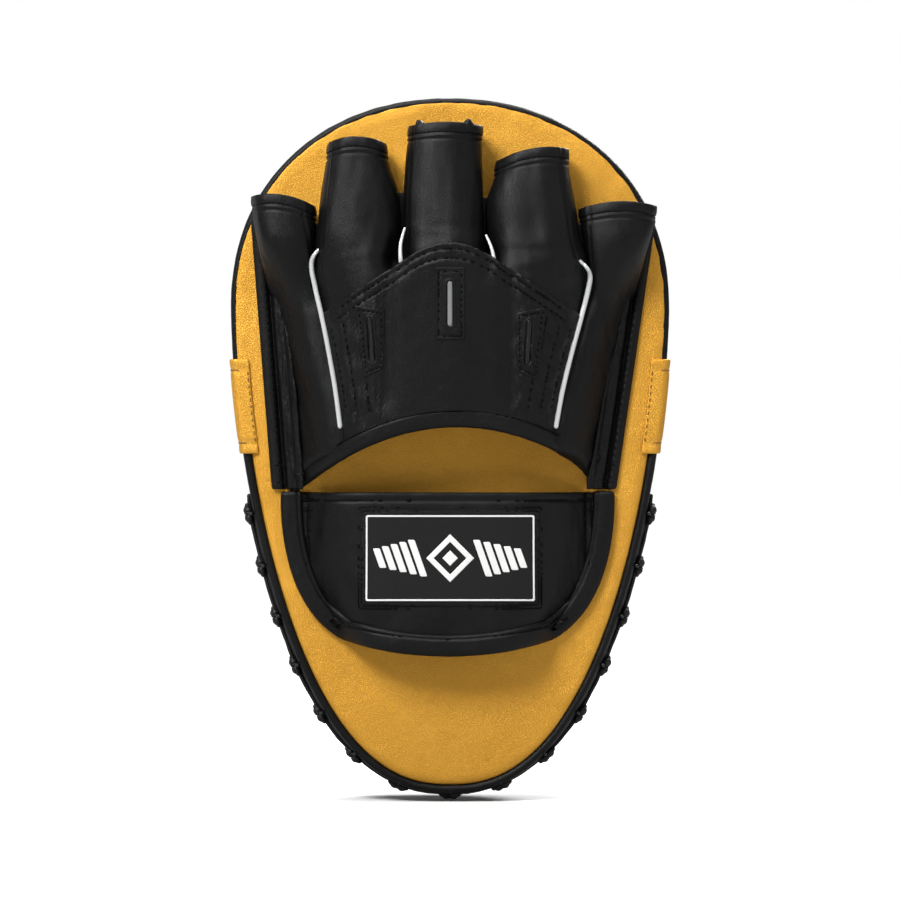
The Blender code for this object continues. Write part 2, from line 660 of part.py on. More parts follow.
def cuff_outline_point(across, down, inset):
    """x and z on the cuff: `across` from -1 to 1, `down` from 0 at the top to 1 at the foot."""
    drop = CUFF_FOOT * down
    half = cuff_half_width(drop) - inset
    sag = CUFF_SAG * CUFF_DEPTH_Z * (1 - across ** 2) * down ** 4
    x = CUFF_CENTRE_X + half * across
    z = CUFF_TOP_Z - CUFF_DEPTH_Z * drop - sag + inset * down ** 4
    return x, z


def cuff_height(x, z):
    """Height of the cuff's outer face: a flat-topped arch that narrows with the cuff."""
    drop = np.clip((CUFF_TOP_Z - z) / CUFF_DEPTH_Z, 0.0, CUFF_FOOT)
    half = cuff_half_width(drop) - CUFF_FLANGE
    share = np.clip(np.abs(x - CUFF_CENTRE_X) / half, 0.0, 1.0)
    base = GAP + CUFF_LEATHER
    return base + (CUFF_RISE - base) * np.cos(math.pi / 2 * share ** CUFF_ARCH_POWER)


def build_cuff():
    """Wrist cuff on its flex hinge: panel, bound edge and label."""
    hinge = bpy.data.objects.new("cuff_hinge", None)
    hinge.location = (CUFF_CENTRE_X, BACK_Y + GAP, CUFF_TOP_Z)
    PARTS.objects.link(hinge)
    bpy.context.view_layer.update()
    across = np.linspace(1.0, -1.0, CUFF_COLUMNS)
    down = np.linspace(1.0, 0.0, CUFF_ROWS)[:, None]
    shape = (len(down), len(across))
    x, z = cuff_outline_point(np.broadcast_to(across, shape), np.broadcast_to(down, shape),
                              CUFF_BINDING_WIDTH + 3 * GAP)
    panel = raise_surface(cuff_height, x, z, 0.0)
    sheet("wrist_cuff", panel, CUFF_LEATHER, "black", hinge)
    build_cuff_binding(hinge)
    x = np.linspace(CUFF_LABEL_SIZE[0] / 2, -CUFF_LABEL_SIZE[0] / 2, 13)
    z = (np.linspace(-CUFF_LABEL_SIZE[1] / 2, CUFF_LABEL_SIZE[1] / 2, 5) + CUFF_LABEL_Z)[:, None]
    shape = (len(z), len(x))
    label = raise_surface(cuff_height, np.broadcast_to(x, shape), np.broadcast_to(z, shape),
                          CUFF_LABEL_THICK + 2 * GAP)
    sheet("cuff_label", label, CUFF_LABEL_THICK, "label", hinge)


def build_cuff_binding(hinge):
    """Bound edge: down one side of the cuff, round its foot and up the other side."""
    side = np.linspace(0.0, 1.0, CUFF_ROWS + 3)
    foot = np.linspace(1.0, -1.0, CUFF_COLUMNS)[1:-1]
    across = np.concatenate([np.ones(len(side)), foot, -np.ones(len(side))])
    down = np.concatenate([side, np.ones(len(foot)), side[::-1]])
    rows = []
    for inset in np.linspace(0.0, CUFF_BINDING_WIDTH, 3):
        x, z = cuff_outline_point(across, down, inset)
        rows.append(raise_surface(cuff_height, x, z, 0.0))
    sheet("cuff_binding", np.stack(rows), CUFF_LEATHER, "black", hinge)


PARTS = clear_scene()
FINISHES = {
    "gold": make_material("gold_leather", (0.62, 0.36, 0.06), 0.42, 0.25),
    "black": make_material("black_leather", (0.012, 0.012, 0.013), 0.45),
    "printed_black": make_material("printed_leather", (0.012, 0.012, 0.013), 0.45),
    "lining": make_material("hand_lining_cloth", (0.02, 0.02, 0.022), 0.85),
    "white_piping": make_material("white_piping", (0.8, 0.8, 0.8), 0.4),
    "white": make_material("white_vinyl", (0.85, 0.84, 0.82), 0.5),
    "red": make_material("red_vinyl", (0.62, 0.02, 0.03), 0.45),
    "label": make_material("woven_label", (0.015, 0.015, 0.016), 0.6),
    "foam": make_material("soft_foam", (0.5, 0.5, 0.48), 0.9),
    "dense_foam": make_material("dense_foam", (0.1, 0.1, 0.11), 0.85),
    "board": make_material("fibre_board", (0.3, 0.22, 0.14), 0.7),
}

build_covers()
build_foams()
build_walls()
build_welts()
build_tabs()
build_lace()
build_hitches()
build_patches()
build_hand_panels()
build_side_panels()
build_hem()
build_pipings()
build_vents()
build_stalls()
build_cuff()
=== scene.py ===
"""Focus mitt: leather, stitching, lace and labels built round the CAD frame."""

import math

import bmesh
import bpy
import numpy as np
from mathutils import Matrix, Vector


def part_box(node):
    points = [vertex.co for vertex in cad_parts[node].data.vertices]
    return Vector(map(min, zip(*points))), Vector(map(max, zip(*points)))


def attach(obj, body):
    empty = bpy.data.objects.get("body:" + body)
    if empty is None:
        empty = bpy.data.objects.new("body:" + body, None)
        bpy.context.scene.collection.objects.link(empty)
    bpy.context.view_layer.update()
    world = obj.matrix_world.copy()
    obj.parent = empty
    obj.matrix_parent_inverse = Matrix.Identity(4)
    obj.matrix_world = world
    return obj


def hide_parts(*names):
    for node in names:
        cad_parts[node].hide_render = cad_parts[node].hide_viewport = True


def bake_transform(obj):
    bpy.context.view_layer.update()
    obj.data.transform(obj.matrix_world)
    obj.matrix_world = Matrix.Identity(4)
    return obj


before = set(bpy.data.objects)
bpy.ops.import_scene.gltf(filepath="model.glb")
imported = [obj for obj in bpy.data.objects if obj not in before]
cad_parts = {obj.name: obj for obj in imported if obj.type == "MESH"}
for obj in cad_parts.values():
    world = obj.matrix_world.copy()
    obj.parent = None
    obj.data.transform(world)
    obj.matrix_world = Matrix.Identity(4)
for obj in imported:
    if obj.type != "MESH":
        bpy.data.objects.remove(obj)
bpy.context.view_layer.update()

MM = 0.001
TOWARDS_FACE = np.array([0.0, -1.0, 0.0])    # from the hand to the strike face
TOWARDS_HAND = np.array([0.0, 1.0, 0.0])

# ---- places read from the frame ----
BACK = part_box("back_cover")[1][1]            # y of the back cover's outer face
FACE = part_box("strike_cover")[0][1]          # y of the strike cover's outer face
WELT_LOW, WELT_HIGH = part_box("back_welt")
FRONT_LOW, FRONT_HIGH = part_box("front_welt")
PAD_DEPTH = BACK - FACE
HALF_WIDTH = WELT_HIGH[0]
PAD_TOP = WELT_HIGH[2]
PAD_TIP = WELT_LOW[2]
BACK_WELT_RADIUS = (WELT_HIGH[1] - WELT_LOW[1]) / 2
FRONT_WELT_RADIUS = (FRONT_HIGH[1] - FRONT_LOW[1]) / 2

# ---- the pad's outline, as in the CAD ----
GAP = 0.3 * MM
WIDEST_Z = 211 * MM
TOP_POWER = 2.15
TIP_POWER_X = 2.35
TIP_POWER_Z = 1.72
SIDE_LEAN_POWER = 2.4
WALL_SEAM = 1.2 * MM
FRONT_SEAM_DEPTH = PAD_DEPTH - FRONT_WELT_RADIUS - GAP
FRONT_SHARE = (FRONT_SEAM_DEPTH / PAD_DEPTH) ** SIDE_LEAN_POWER
WELT_REACH = WALL_SEAM - FRONT_WELT_RADIUS
INSET_SIDE = (HALF_WIDTH - FRONT_HIGH[0] - WELT_REACH) / FRONT_SHARE
INSET_TOP = (PAD_TOP - FRONT_HIGH[2] - WELT_REACH) / FRONT_SHARE
INSET_TIP = (FRONT_LOW[2] - PAD_TIP - WELT_REACH) / FRONT_SHARE
FINE_COUNT = 1440                            # outline points where a place along it is looked up
PAD_MIDDLE = np.array([0.0, 0.0, 0.165])     # inside the pad: what points away from it points outwards


# ---------------------------------------------------------------- small numeric tools


def ease(x, low, high):
    """Smooth step from 0 at low to 1 at high."""
    t = np.clip((x - low) / (high - low), 0.0, 1.0)
    return t * t * (3 - 2 * t)


def bell(x, centre, width):
    """Bell of height 1 and the given half-width."""
    return np.exp(-((x - centre) / width) ** 2)


def curve_through(t, knots, values):
    """Smooth curve through values at knots: cubic pieces whose slopes are the central differences."""
    knots = np.asarray(knots, float)
    values = np.asarray(values, float)
    slope = np.gradient(values, knots)
    k = np.clip(np.searchsorted(knots, t, side="right") - 1, 0, len(knots) - 2)
    span = knots[k + 1] - knots[k]
    u = np.clip((t - knots[k]) / span, 0.0, 1.0)
    return ((1 + 2 * u) * (1 - u) ** 2 * values[k] + u * (1 - u) ** 2 * span * slope[k]
            + u * u * (3 - 2 * u) * values[k + 1] + u * u * (u - 1) * span * slope[k + 1])


def unit(v):
    """Vectors scaled to length one."""
    return v / np.maximum(np.linalg.norm(v, axis=-1, keepdims=True), 1e-12)


def even_line(points, count, closed=False):
    """A line resampled to evenly spaced points."""
    line = np.vstack([points, points[:1]]) if closed else np.asarray(points, float)
    travelled = np.concatenate([[0.0], np.cumsum(np.linalg.norm(np.diff(line, axis=0), axis=1))])
    wanted = np.linspace(0.0, travelled[-1], count, endpoint=not closed)
    return np.stack([np.interp(wanted, travelled, line[:, a]) for a in range(line.shape[1])], 1)


def soft_noise(points, scale, seed, octaves=3):
    """Noise from about -1 to 1: sines along random directions, each octave half as long and tall."""
    rng = np.random.default_rng(seed)
    total = np.zeros(points.shape[:-1])
    weight = 0.0
    for octave in range(octaves):
        for _ in range(5):
            direction = rng.normal(size=points.shape[-1])
            direction *= 2 ** octave * 2 * math.pi / scale / np.linalg.norm(direction)
            total += 0.5 ** octave * np.sin(points @ direction + rng.uniform(0, 2 * math.pi))
        weight += 0.5 ** octave * 5
    return total / weight * 2.0


def distance_to(x, z, line):
    """Distance in the plane from each point to a line of closely spaced points."""
    flat = np.stack([np.ravel(x), np.ravel(z)], 1)
    best = np.full(len(flat), 1.0)
    for start, end in zip(line[:-1], line[1:]):
        run = end - start
        share = np.clip((flat - start) @ run / max(run @ run, 1e-12), 0.0, 1.0)
        best = np.minimum(best, np.linalg.norm(flat - start - share[:, None] * run, axis=1))
    return best.reshape(np.shape(x))


def pressed(x, z, lines, width, depth):
    """Height lost where rows of stitches pull the leather down: a bell across each line."""
    total = np.zeros(np.shape(x))
    for line in lines:
        total = np.maximum(total, depth * np.exp(-(distance_to(x, z, line) / width) ** 2))
    return total


# ---------------------------------------------------------------- mesh builders


def make_mesh(name, points, faces, finish, body, uv=None, masks=None):
    """A piece from whole arrays: points, lists of quads and triangles, UV and masks per point."""
    mesh = bpy.data.meshes.new(name)
    faces = [np.asarray(block, np.int32) for block in faces if len(block)]
    sizes = np.concatenate([np.full(len(block), block.shape[1]) for block in faces])
    flat = np.concatenate([block.ravel() for block in faces])
    mesh.vertices.add(len(points))
    mesh.vertices.foreach_set("co", np.ascontiguousarray(points, np.float32).ravel())
    mesh.loops.add(len(flat))
    mesh.loops.foreach_set("vertex_index", flat)
    mesh.polygons.add(len(sizes))
    starts = np.concatenate([[0], np.cumsum(sizes)[:-1]]).astype(np.int32)
    mesh.polygons.foreach_set("loop_start", starts)
    mesh.polygons.foreach_set("loop_total", sizes.astype(np.int32))
    mesh.update(calc_edges=True)
    build = bmesh.new()
    build.from_mesh(mesh)
    bmesh.ops.recalc_face_normals(build, faces=build.faces)
    build.to_mesh(mesh)
    build.free()
    mesh.shade_smooth()
    for mask, values in (masks or {}).items():
        attribute = mesh.attributes.new(mask, "FLOAT", "POINT")
        attribute.data.foreach_set("value", np.ascontiguousarray(values, np.float32).ravel())
    if uv is not None:
        corner = np.empty(len(mesh.loops), np.int32)
        mesh.loops.foreach_get("vertex_index", corner)
        layer = mesh.uv_layers.new(name="Cut")
        layer.data.foreach_set("uv", np.ascontiguousarray(np.asarray(uv, np.float32)[corner]).ravel())
    item = bpy.data.objects.new(name, mesh)
    bpy.context.collection.objects.link(item)
    mesh.materials.append(FINISH[finish])
    if body is not None:
        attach(item, body)
    return item


def grid_faces(rows, columns, wrap_rows=False, wrap_columns=False, start=0):
    """Quads of a grid of points, closed round either way if asked."""
    r = np.arange(rows if wrap_rows else rows - 1)[:, None]
    c = np.arange(columns if wrap_columns else columns - 1)[None, :]
    r2 = (r + 1) % rows
    c2 = (c + 1) % columns
    quads = np.stack([r * columns + c, r * columns + c2, r2 * columns + c2, r2 * columns + c], -1)
    return quads.reshape(-1, 4) + start


def pole_fans(levels, count):
    """Triangles that close a stack of rings onto two poles, which follow the rings' points."""
    index = np.arange(count)
    after = (index + 1) % count
    first = levels * count
    top = first - count
    return [np.stack([np.full(count, first), after, index], 1),
            np.stack([np.full(count, first + 1), top + index, top + after], 1)]


def grid_normals(grid):
    """Unit normals of a grid: along its columns crossed with along its rows."""
    return unit(np.cross(np.gradient(grid, axis=1), np.gradient(grid, axis=0)))


def grid_uv(grid):
    """Length along the columns and rows of a grid, in metres, as its cut pattern."""
    across = np.linalg.norm(np.diff(grid, axis=1), axis=2)
    up = np.linalg.norm(np.diff(grid, axis=0), axis=2)
    u = np.concatenate([np.zeros((len(grid), 1)), np.cumsum(across, 1)], 1)
    v = np.concatenate([np.zeros((1, grid.shape[1])), np.cumsum(up, 0)], 0)
    return np.stack([u - u[:, -1:] / 2, v], -1)


def leather_sheet(name, grid, thickness, finish, body="root", masks=None, outward=None, rim_steps=4):
    """Closed leather sheet: the grid, a copy one thickness below it, and a half-round rim between.

    The sheet lies below the grid, against its normal times outward.  Where outward isn't given,
    the middle of the grid is turned to the hand.
    """
    rows, columns = grid.shape[:2]
    normals = grid_normals(grid)
    if outward is None:
        outward = np.sign(normals[rows // 2, columns // 2, 1])
    normals = normals * outward
    below = grid - normals * thickness
    ring = np.concatenate([np.arange(columns), np.arange(1, rows) * columns + columns - 1,
                           (rows - 1) * columns + np.arange(columns - 2, -1, -1),
                           np.arange(rows - 2, 0, -1) * columns])
    inner_row = np.clip(ring // columns, 1, rows - 2)
    inner_column = np.clip(ring % columns, 1, columns - 2)
    inward = inner_row * columns + inner_column
    top, under = grid.reshape(-1, 3), below.reshape(-1, 3)
    flat_normals = normals.reshape(-1, 3)
    away = top[ring] - top[inward]
    away = away - flat_normals[ring] * np.sum(away * flat_normals[ring], 1, keepdims=True)
    away = unit(away)
    angle = np.linspace(0.0, math.pi, rim_steps + 1)[1:-1]
    middle = (top[ring] + under[ring]) / 2
    half = (top[ring] - under[ring]) / 2
    rims = [middle + half * math.cos(a) + away * thickness / 2 * math.sin(a) for a in angle]
    points = np.vstack([top, under, *rims])
    count = rows * columns
    faces = [grid_faces(rows, columns), grid_faces(rows, columns, start=count)[:, ::-1]]
    loops = [ring] + [2 * count + len(ring) * i + np.arange(len(ring)) for i in range(len(angle))]
    loops.append(ring + count)
    for upper, lower in zip(loops[:-1], loops[1:]):
        faces.append(np.stack([upper, lower, np.roll(lower, -1), np.roll(upper, -1)], 1))
    uv_top = grid_uv(grid).reshape(-1, 2)
    uv = np.vstack([uv_top, uv_top, *[uv_top[ring] for _ in angle]])
    spread = {}
    for mask, values in (masks or {}).items():
        flat = np.ravel(values)
        spread[mask] = np.concatenate([flat, flat, *[flat[ring] for _ in angle]])
    return make_mesh(name, points, faces, finish, body, uv, spread)


def ring_stack(name, rings, finish, body="root", looped=False, masks=None):
    """Closed skin over a stack of rings: looped joins the last ring to the first, else poles close it."""
    rings = np.asarray(rings, float)
    levels, count = rings.shape[:2]
    points = rings.reshape(-1, 3)
    step = np.linalg.norm(np.diff(rings, axis=0), axis=2).mean(1)
    up = np.repeat(np.concatenate([[0.0], np.cumsum(step)]), count)
    around = np.linalg.norm(np.roll(rings, -1, 1) - rings, axis=2)
    turn = np.concatenate([np.zeros((levels, 1)), np.cumsum(around, 1)[:, :-1]], 1).ravel()
    uv = np.stack([turn, up], 1)
    spread = {mask: np.ravel(values) for mask, values in (masks or {}).items()}
    if looped:
        faces = [grid_faces(levels, count, wrap_rows=True, wrap_columns=True)]
        return make_mesh(name, points, faces, finish, body, uv, spread)
    points = np.vstack([points, rings[0].mean(0), rings[-1].mean(0)])
    uv = np.vstack([uv, uv[[0, -1]]])
    spread = {mask: np.concatenate([values, values[[0, -1]]]) for mask, values in spread.items()}
    faces = [grid_faces(levels, count, wrap_columns=True), *pole_fans(levels, count)]
    return make_mesh(name, points, faces, finish, body, uv, spread)


def leather_tube(name, rings, thickness, finish, body, masks):
    """Open leather tube with a real wall: the rings, then the same rings drawn in by the wall."""
    centre = rings.mean(1, keepdims=True)
    inward = centre - rings
    reach = np.linalg.norm(inward, axis=2, keepdims=True)
    inner = rings + inward * np.minimum(thickness / reach, 0.6)
    lips = []
    for end, before in ((-1, -2), (0, 1)):
        along = unit(rings[end] - rings[before])
        middle = (rings[end] + inner[end]) / 2
        half = (rings[end] - inner[end]) / 2
        sweep = np.linspace(0.0, math.pi, 5)[1:-1]
        if end == 0:
            sweep = sweep[::-1]
        lips.append(np.stack([middle + half * math.cos(a) + along * thickness / 2 * math.sin(a)
                              for a in sweep]))
    whole = np.concatenate([rings, lips[0], inner[::-1], lips[1]])
    spread = {}
    for mask, values in (masks or {}).items():
        values = np.asarray(values)
        spread[mask] = np.concatenate([values, np.repeat(values[-1:], 3, 0), values[::-1],
                                       np.repeat(values[:1], 3, 0)])
    return ring_stack(name, whole, finish, body, looped=True, masks=spread)


def patch(name, place, outline, thickness, finish, body="root", rings=10, hole=None):
    """Patch laid on a surface by place(x, z, lift), from an outline round its middle.

    Rings draw in from the outline to the middle, or to the outline of a hole.  The edge is a
    quarter round as deep as the patch is thick.
    """
    outline = np.asarray(outline, float)
    target = outline.mean(0) + 0.02 * (outline - outline.mean(0)) if hole is None else hole
    span = np.linalg.norm(outline - target, axis=1).max()
    roll = min(thickness / span, 0.3)
    quarter = np.linspace(0.0, math.pi / 2, 4)
    shares = [(0.0, 0.02 * MM)] + [(roll * (1 - math.cos(a)), thickness * math.sin(a)) for a in quarter[1:]]
    last = 1.0 if hole is None else 1.0 - roll
    shares += [(s, thickness) for s in np.linspace(roll, last, rings)[1:]]
    if hole is not None:
        shares += [(1 - roll * (1 - math.cos(a)), thickness * math.sin(a)) for a in quarter[-2:0:-1]]
        shares += [(1.0, 0.02 * MM)]
    levels = []
    for share, lift in shares:
        ring = outline + (target - outline) * share
        levels.append(place(ring[:, 0], ring[:, 1], np.full(len(ring), lift)))
    return ring_stack(name, levels, finish, body, looped=hole is not None)


def cord_rings(path, normal, radius, sides, closed, squash):
    """Rings of a cord along a path: circles across the path, flattened along the normal by squash."""
    if closed:
        tangent = unit(np.roll(path, -1, 0) - np.roll(path, 1, 0))
    else:
        tangent = unit(np.gradient(path, axis=0))
    side = unit(np.cross(tangent, normal))
    up = np.cross(side, tangent)
    angle = np.linspace(0.0, 2 * math.pi, sides, endpoint=False)[:, None]
    wheel = side[:, None] * np.cos(angle) + up[:, None] * squash * np.sin(angle)
    return path[:, None] + np.broadcast_to(radius, (len(path),))[:, None, None] * wheel


def cord_body(path, normal, radius, sides, closed=False, squash=1.0):
    """Points and faces of a cord with round ends, or of a closed loop."""
    path = np.asarray(path, float)
    normal = np.broadcast_to(np.asarray(normal, float), path.shape)
    radii = np.broadcast_to(np.asarray(radius, float), (len(path),))
    if not closed:
        reach = np.array([0.98, 0.8, 0.45])
        low = path[0] - unit(path[1] - path[0]) * reach[:, None] * radii[0]
        high = path[-1] + unit(path[-1] - path[-2]) * reach[::-1, None] * radii[-1]
        path = np.vstack([low, path, high])
        normal = np.vstack([normal[:1].repeat(3, 0), normal, normal[-1:].repeat(3, 0)])
        ends = np.sqrt(1 - reach ** 2)
        radii = np.concatenate([radii[0] * ends, radii, radii[-1] * ends[::-1]])
    rings = cord_rings(path, normal, radii, sides, closed, squash)
    count = len(rings)
    faces = [grid_faces(count, sides, wrap_rows=closed, wrap_columns=True)]
    points = rings.reshape(-1, 3)
    if not closed:
        points = np.vstack([points, rings[0].mean(0), rings[-1].mean(0)])
        faces += pole_fans(count, sides)
    return points, faces


def cords(name, bodies, finish):
    """One piece on the pad from several cord bodies."""
    points, quads, triangles = [], [], []
    start = 0
    for part_points, part_faces in bodies:
        points.append(part_points)
        for block in part_faces:
            (quads if block.shape[1] == 4 else triangles).append(block + start)
        start += len(part_points)
    faces = [np.vstack(quads)] + ([np.vstack(triangles)] if triangles else [])
    return make_mesh(name, np.vstack(points), faces, finish, "root")


STITCH_RINGS = 5
STITCH_SIDES = 6
STITCH_SHARE = 0.72                          # of the pitch that a stitch covers
STITCH_LIFT = 0.06 * MM                      # of its middle over the line


def stitch_row(name, lines, body="root", finish="black_thread", pitch=3.0 * MM, radius=0.33 * MM):
    """Rows of stitches: arched capsules end to end along each line, dipping into the leather.

    lines is a list of (points, normals).
    """
    centres, tangents, normals = [], [], []
    for points, normal in lines:
        length = np.linalg.norm(np.diff(points, axis=0), axis=1).sum()
        count = max(1, int(round(length / pitch)))
        dense = even_line(np.hstack([points, np.broadcast_to(normal, points.shape)]), 2 * count + 1)
        centres.append(dense[1::2, :3])
        tangents.append(unit(dense[2::2, :3] - dense[:-2:2, :3]))
        normals.append(unit(dense[1::2, 3:]))
    centre, tangent, up = np.vstack(centres), np.vstack(tangents), np.vstack(normals)
    side = unit(np.cross(tangent, up))
    t = np.linspace(-1.0, 1.0, STITCH_RINGS)
    angle = np.linspace(0.0, 2 * math.pi, STITCH_SIDES, endpoint=False)
    width = radius * np.clip(1.05 - t ** 2, 0.0, None) ** 0.25
    arch = STITCH_LIFT - (radius + STITCH_LIFT) * np.abs(t) ** 2.5
    along = np.broadcast_to((t * pitch * STITCH_SHARE / 2)[:, None], (STITCH_RINGS, STITCH_SIDES))
    across = width[:, None] * np.cos(angle)
    high = arch[:, None] + width[:, None] * np.sin(angle)
    points = (centre[:, None, None] + tangent[:, None, None] * along[..., None]
              + side[:, None, None] * across[..., None] + up[:, None, None] * high[..., None])
    per = STITCH_RINGS * STITCH_SIDES
    starts = np.arange(len(centre))[:, None, None] * per
    quads = (grid_faces(STITCH_RINGS, STITCH_SIDES, wrap_columns=True)[None] + starts).reshape(-1, 4)
    low_caps = np.arange(STITCH_SIDES)[::-1][None] + starts[:, 0]
    high_caps = np.arange(STITCH_SIDES)[None] + per - STITCH_SIDES + starts[:, 0]
    return make_mesh(name, points.reshape(-1, 3), [quads, low_caps, high_caps], finish, body)


def stand_in(piece, *nodes):
    """The piece stands for these nodes of the frame."""
    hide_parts(*nodes)
    return piece


# ---------------------------------------------------------------- shared effects


def new_group(name, inputs, outputs):
    """Empty node group: a Vector and named values with their defaults in, named values out."""
    group = bpy.data.node_groups.new(name, "ShaderNodeTree")
    group.interface.new_socket("Vector", in_out="INPUT", socket_type="NodeSocketVector")
    for label, value in inputs.items():
        socket = group.interface.new_socket(label, in_out="INPUT", socket_type="NodeSocketFloat")
        socket.default_value = value
    for label in outputs:
        group.interface.new_socket(label, in_out="OUTPUT", socket_type="NodeSocketFloat")
    return group, group.nodes.new("NodeGroupInput").outputs, group.nodes.new("NodeGroupOutput").inputs


def wire(tree, node_type, inputs=(), **settings):
    """New node with its settings, and each input set to a value or linked from a socket."""
    node = tree.nodes.new(node_type)
    for key, value in settings.items():
        setattr(node, key, value)
    for key, value in dict(inputs).items():
        if isinstance(value, bpy.types.NodeSocket):
            tree.links.new(value, node.inputs[key])
        else:
            node.inputs[key].default_value = value
    return node


def maths(tree, operation, *values):
    """Math node on values or sockets; gives its output."""
    return wire(tree, "ShaderNodeMath", enumerate(values), operation=operation).outputs[0]


def between(tree, value, low, high, to_low=0.0, to_high=1.0):
    """Smooth map of a value from one range to another."""
    inputs = {"Value": value, "From Min": low, "From Max": high, "To Min": to_low, "To Max": to_high}
    return wire(tree, "ShaderNodeMapRange", inputs, interpolation_type="SMOOTHSTEP").outputs["Result"]


def noise(tree, vector, scale, detail, roughness=0.55, distortion=0.0, **settings):
    """Noise texture; gives its value."""
    inputs = {"Vector": vector, "Scale": scale, "Detail": detail, "Roughness": roughness,
              "Distortion": distortion}
    return wire(tree, "ShaderNodeTexNoise", inputs, **settings).outputs["Fac"]


def make_leather_grain():
    """Leather grain: pebbles from Voronoi cell edges, finer ones between them, pore specks, and creases.

    Height is the surface's relief from 0 to 1, Tone drifts slowly over the hide, and Pore marks
    the valleys between pebbles.
    """
    inputs = {"Cells per metre": 900.0, "Pebble": 0.5, "Crease": 0.0}
    group, given, result = new_group("leather_grain", inputs, ("Height", "Tone", "Pore"))
    warp = wire(group, "ShaderNodeTexNoise", {"Vector": given["Vector"], "Scale": 260.0, "Detail": 2.0})
    shift = wire(group, "ShaderNodeVectorMath", {0: warp.outputs["Color"], 1: (0.0009, 0.0009, 0.0009)},
                 operation="MULTIPLY")
    bent = wire(group, "ShaderNodeVectorMath", {0: given["Vector"], 1: shift.outputs[0]}, operation="ADD")
    finer = maths(group, "MULTIPLY", given["Cells per metre"], 2.3)
    pebble, fine = (between(group, wire(group, "ShaderNodeTexVoronoi", {"Vector": bent.outputs[0],
                    "Scale": scale}, feature="DISTANCE_TO_EDGE").outputs["Distance"], 0.0, width)
                    for scale, width in ((given["Cells per metre"], 0.22), (finer, 0.25)))
    relief = maths(group, "MULTIPLY_ADD", pebble, 0.65, maths(group, "MULTIPLY", fine, 0.35))
    grainy = maths(group, "MULTIPLY", relief, given["Pebble"])
    speck = noise(group, given["Vector"], 3200.0, 2.0, 0.6)
    grainy = maths(group, "MULTIPLY_ADD", speck, 0.10, grainy)
    stretch = wire(group, "ShaderNodeMapping", {"Vector": given["Vector"], "Scale": (1.0, 1.0, 0.55)})
    ridges = noise(group, stretch.outputs[0], 210.0, 4.0, 0.62, 0.6, noise_type="RIDGED_MULTIFRACTAL")
    folded = maths(group, "MULTIPLY", between(group, ridges, 0.35, 1.5), given["Crease"])
    height = maths(group, "SUBTRACT", grainy, folded)
    tone = between(group, noise(group, given["Vector"], 26.0, 4.0, 0.6), 0.3, 0.7)
    group.links.new(height, result["Height"])
    group.links.new(tone, result["Tone"])
    group.links.new(maths(group, "SUBTRACT", 1.0, relief), result["Pore"])
    return group


def make_thread_weave():
    """Woven cloth: two sets of threads crossing on the cut pattern, each passing over and under."""
    group, given, result = new_group("thread_weave", {"Threads per metre": 1400.0}, ("Height", "Cross"))
    split = wire(group, "ShaderNodeSeparateXYZ", {0: given["Vector"]})
    turns = maths(group, "MULTIPLY", given["Threads per metre"], math.pi)
    waves = [maths(group, "SINE", maths(group, "MULTIPLY", split.outputs[axis], turns)) for axis in "XY"]
    lift = between(group, maths(group, "MULTIPLY", *waves), -1.0, 1.0)
    ribs = maths(group, "MULTIPLY", maths(group, "ABSOLUTE", waves[0]), 0.4)
    height = maths(group, "MULTIPLY_ADD", lift, 0.6, ribs)
    group.links.new(height, result["Height"])
    group.links.new(lift, result["Cross"])
    return group


def make_scuffing():
    """Handling marks: soft smudges and fine scratches, from 0 to 1."""
    group, given, result = new_group("scuffing", {"Amount": 0.5}, ("Scuff",))
    smudge = between(group, noise(group, given["Vector"], 38.0, 5.0, 0.65, 0.4), 0.48, 0.78)
    stretch = wire(group, "ShaderNodeMapping", {"Vector": given["Vector"], "Rotation": (0.3, 0.2, 0.5),
                   "Scale": (1.0, 1.0, 0.06)})
    scratch = between(group, noise(group, stretch.outputs[0], 900.0, 3.0, 0.7), 0.62, 0.80)
    both = maths(group, "MAXIMUM", smudge, maths(group, "MULTIPLY", scratch, 0.5))
    group.links.new(maths(group, "MULTIPLY", both, given["Amount"]), result["Scuff"])
    return group


GRAIN = make_leather_grain()
WEAVE = make_thread_weave()
SCUFF = make_scuffing()


# ---------------------------------------------------------------- finishes


def new_finish(name, **constants):
    """Material with one Principled shader and the object's coordinates.

    Constants are set on the shader's own sockets.
    """
    material = bpy.data.materials.new(name)
    material.use_nodes = True
    tree = material.node_tree
    shader = tree.nodes["Principled BSDF"]
    for key, value in constants.items():
        shader.inputs[key.replace("_", " ")].default_value = value
    return material, tree, shader, tree.nodes.new("ShaderNodeTexCoord").outputs["Object"]


def group_node(tree, group, inputs):
    """A shared effect placed in a material."""
    return wire(tree, "ShaderNodeGroup", inputs, node_tree=group).outputs


MIX_LOW, MIX_HIGH, MIX_RESULT = 6, 7, 2      # the Mix node's colour sockets share their names with others


def mixed(tree, share, low, high):
    """Colour mix by a socket; low and high are colours or sockets."""
    low, high = (value if isinstance(value, bpy.types.NodeSocket) else (*value, 1.0) for value in (low, high))
    inputs = {"Factor": share, MIX_LOW: low, MIX_HIGH: high}
    return wire(tree, "ShaderNodeMix", inputs, data_type="RGBA").outputs[MIX_RESULT]


def dress(tree, shader, colour, rough, height, relief):
    """Colour, roughness and a relief in metres on the shader."""
    tree.links.new(colour, shader.inputs["Base Color"])
    tree.links.new(rough, shader.inputs["Roughness"])
    bump = wire(tree, "ShaderNodeBump", {"Height": height, "Distance": relief, "Strength": 1.0})
    tree.links.new(bump.outputs["Normal"], shader.inputs["Normal"])


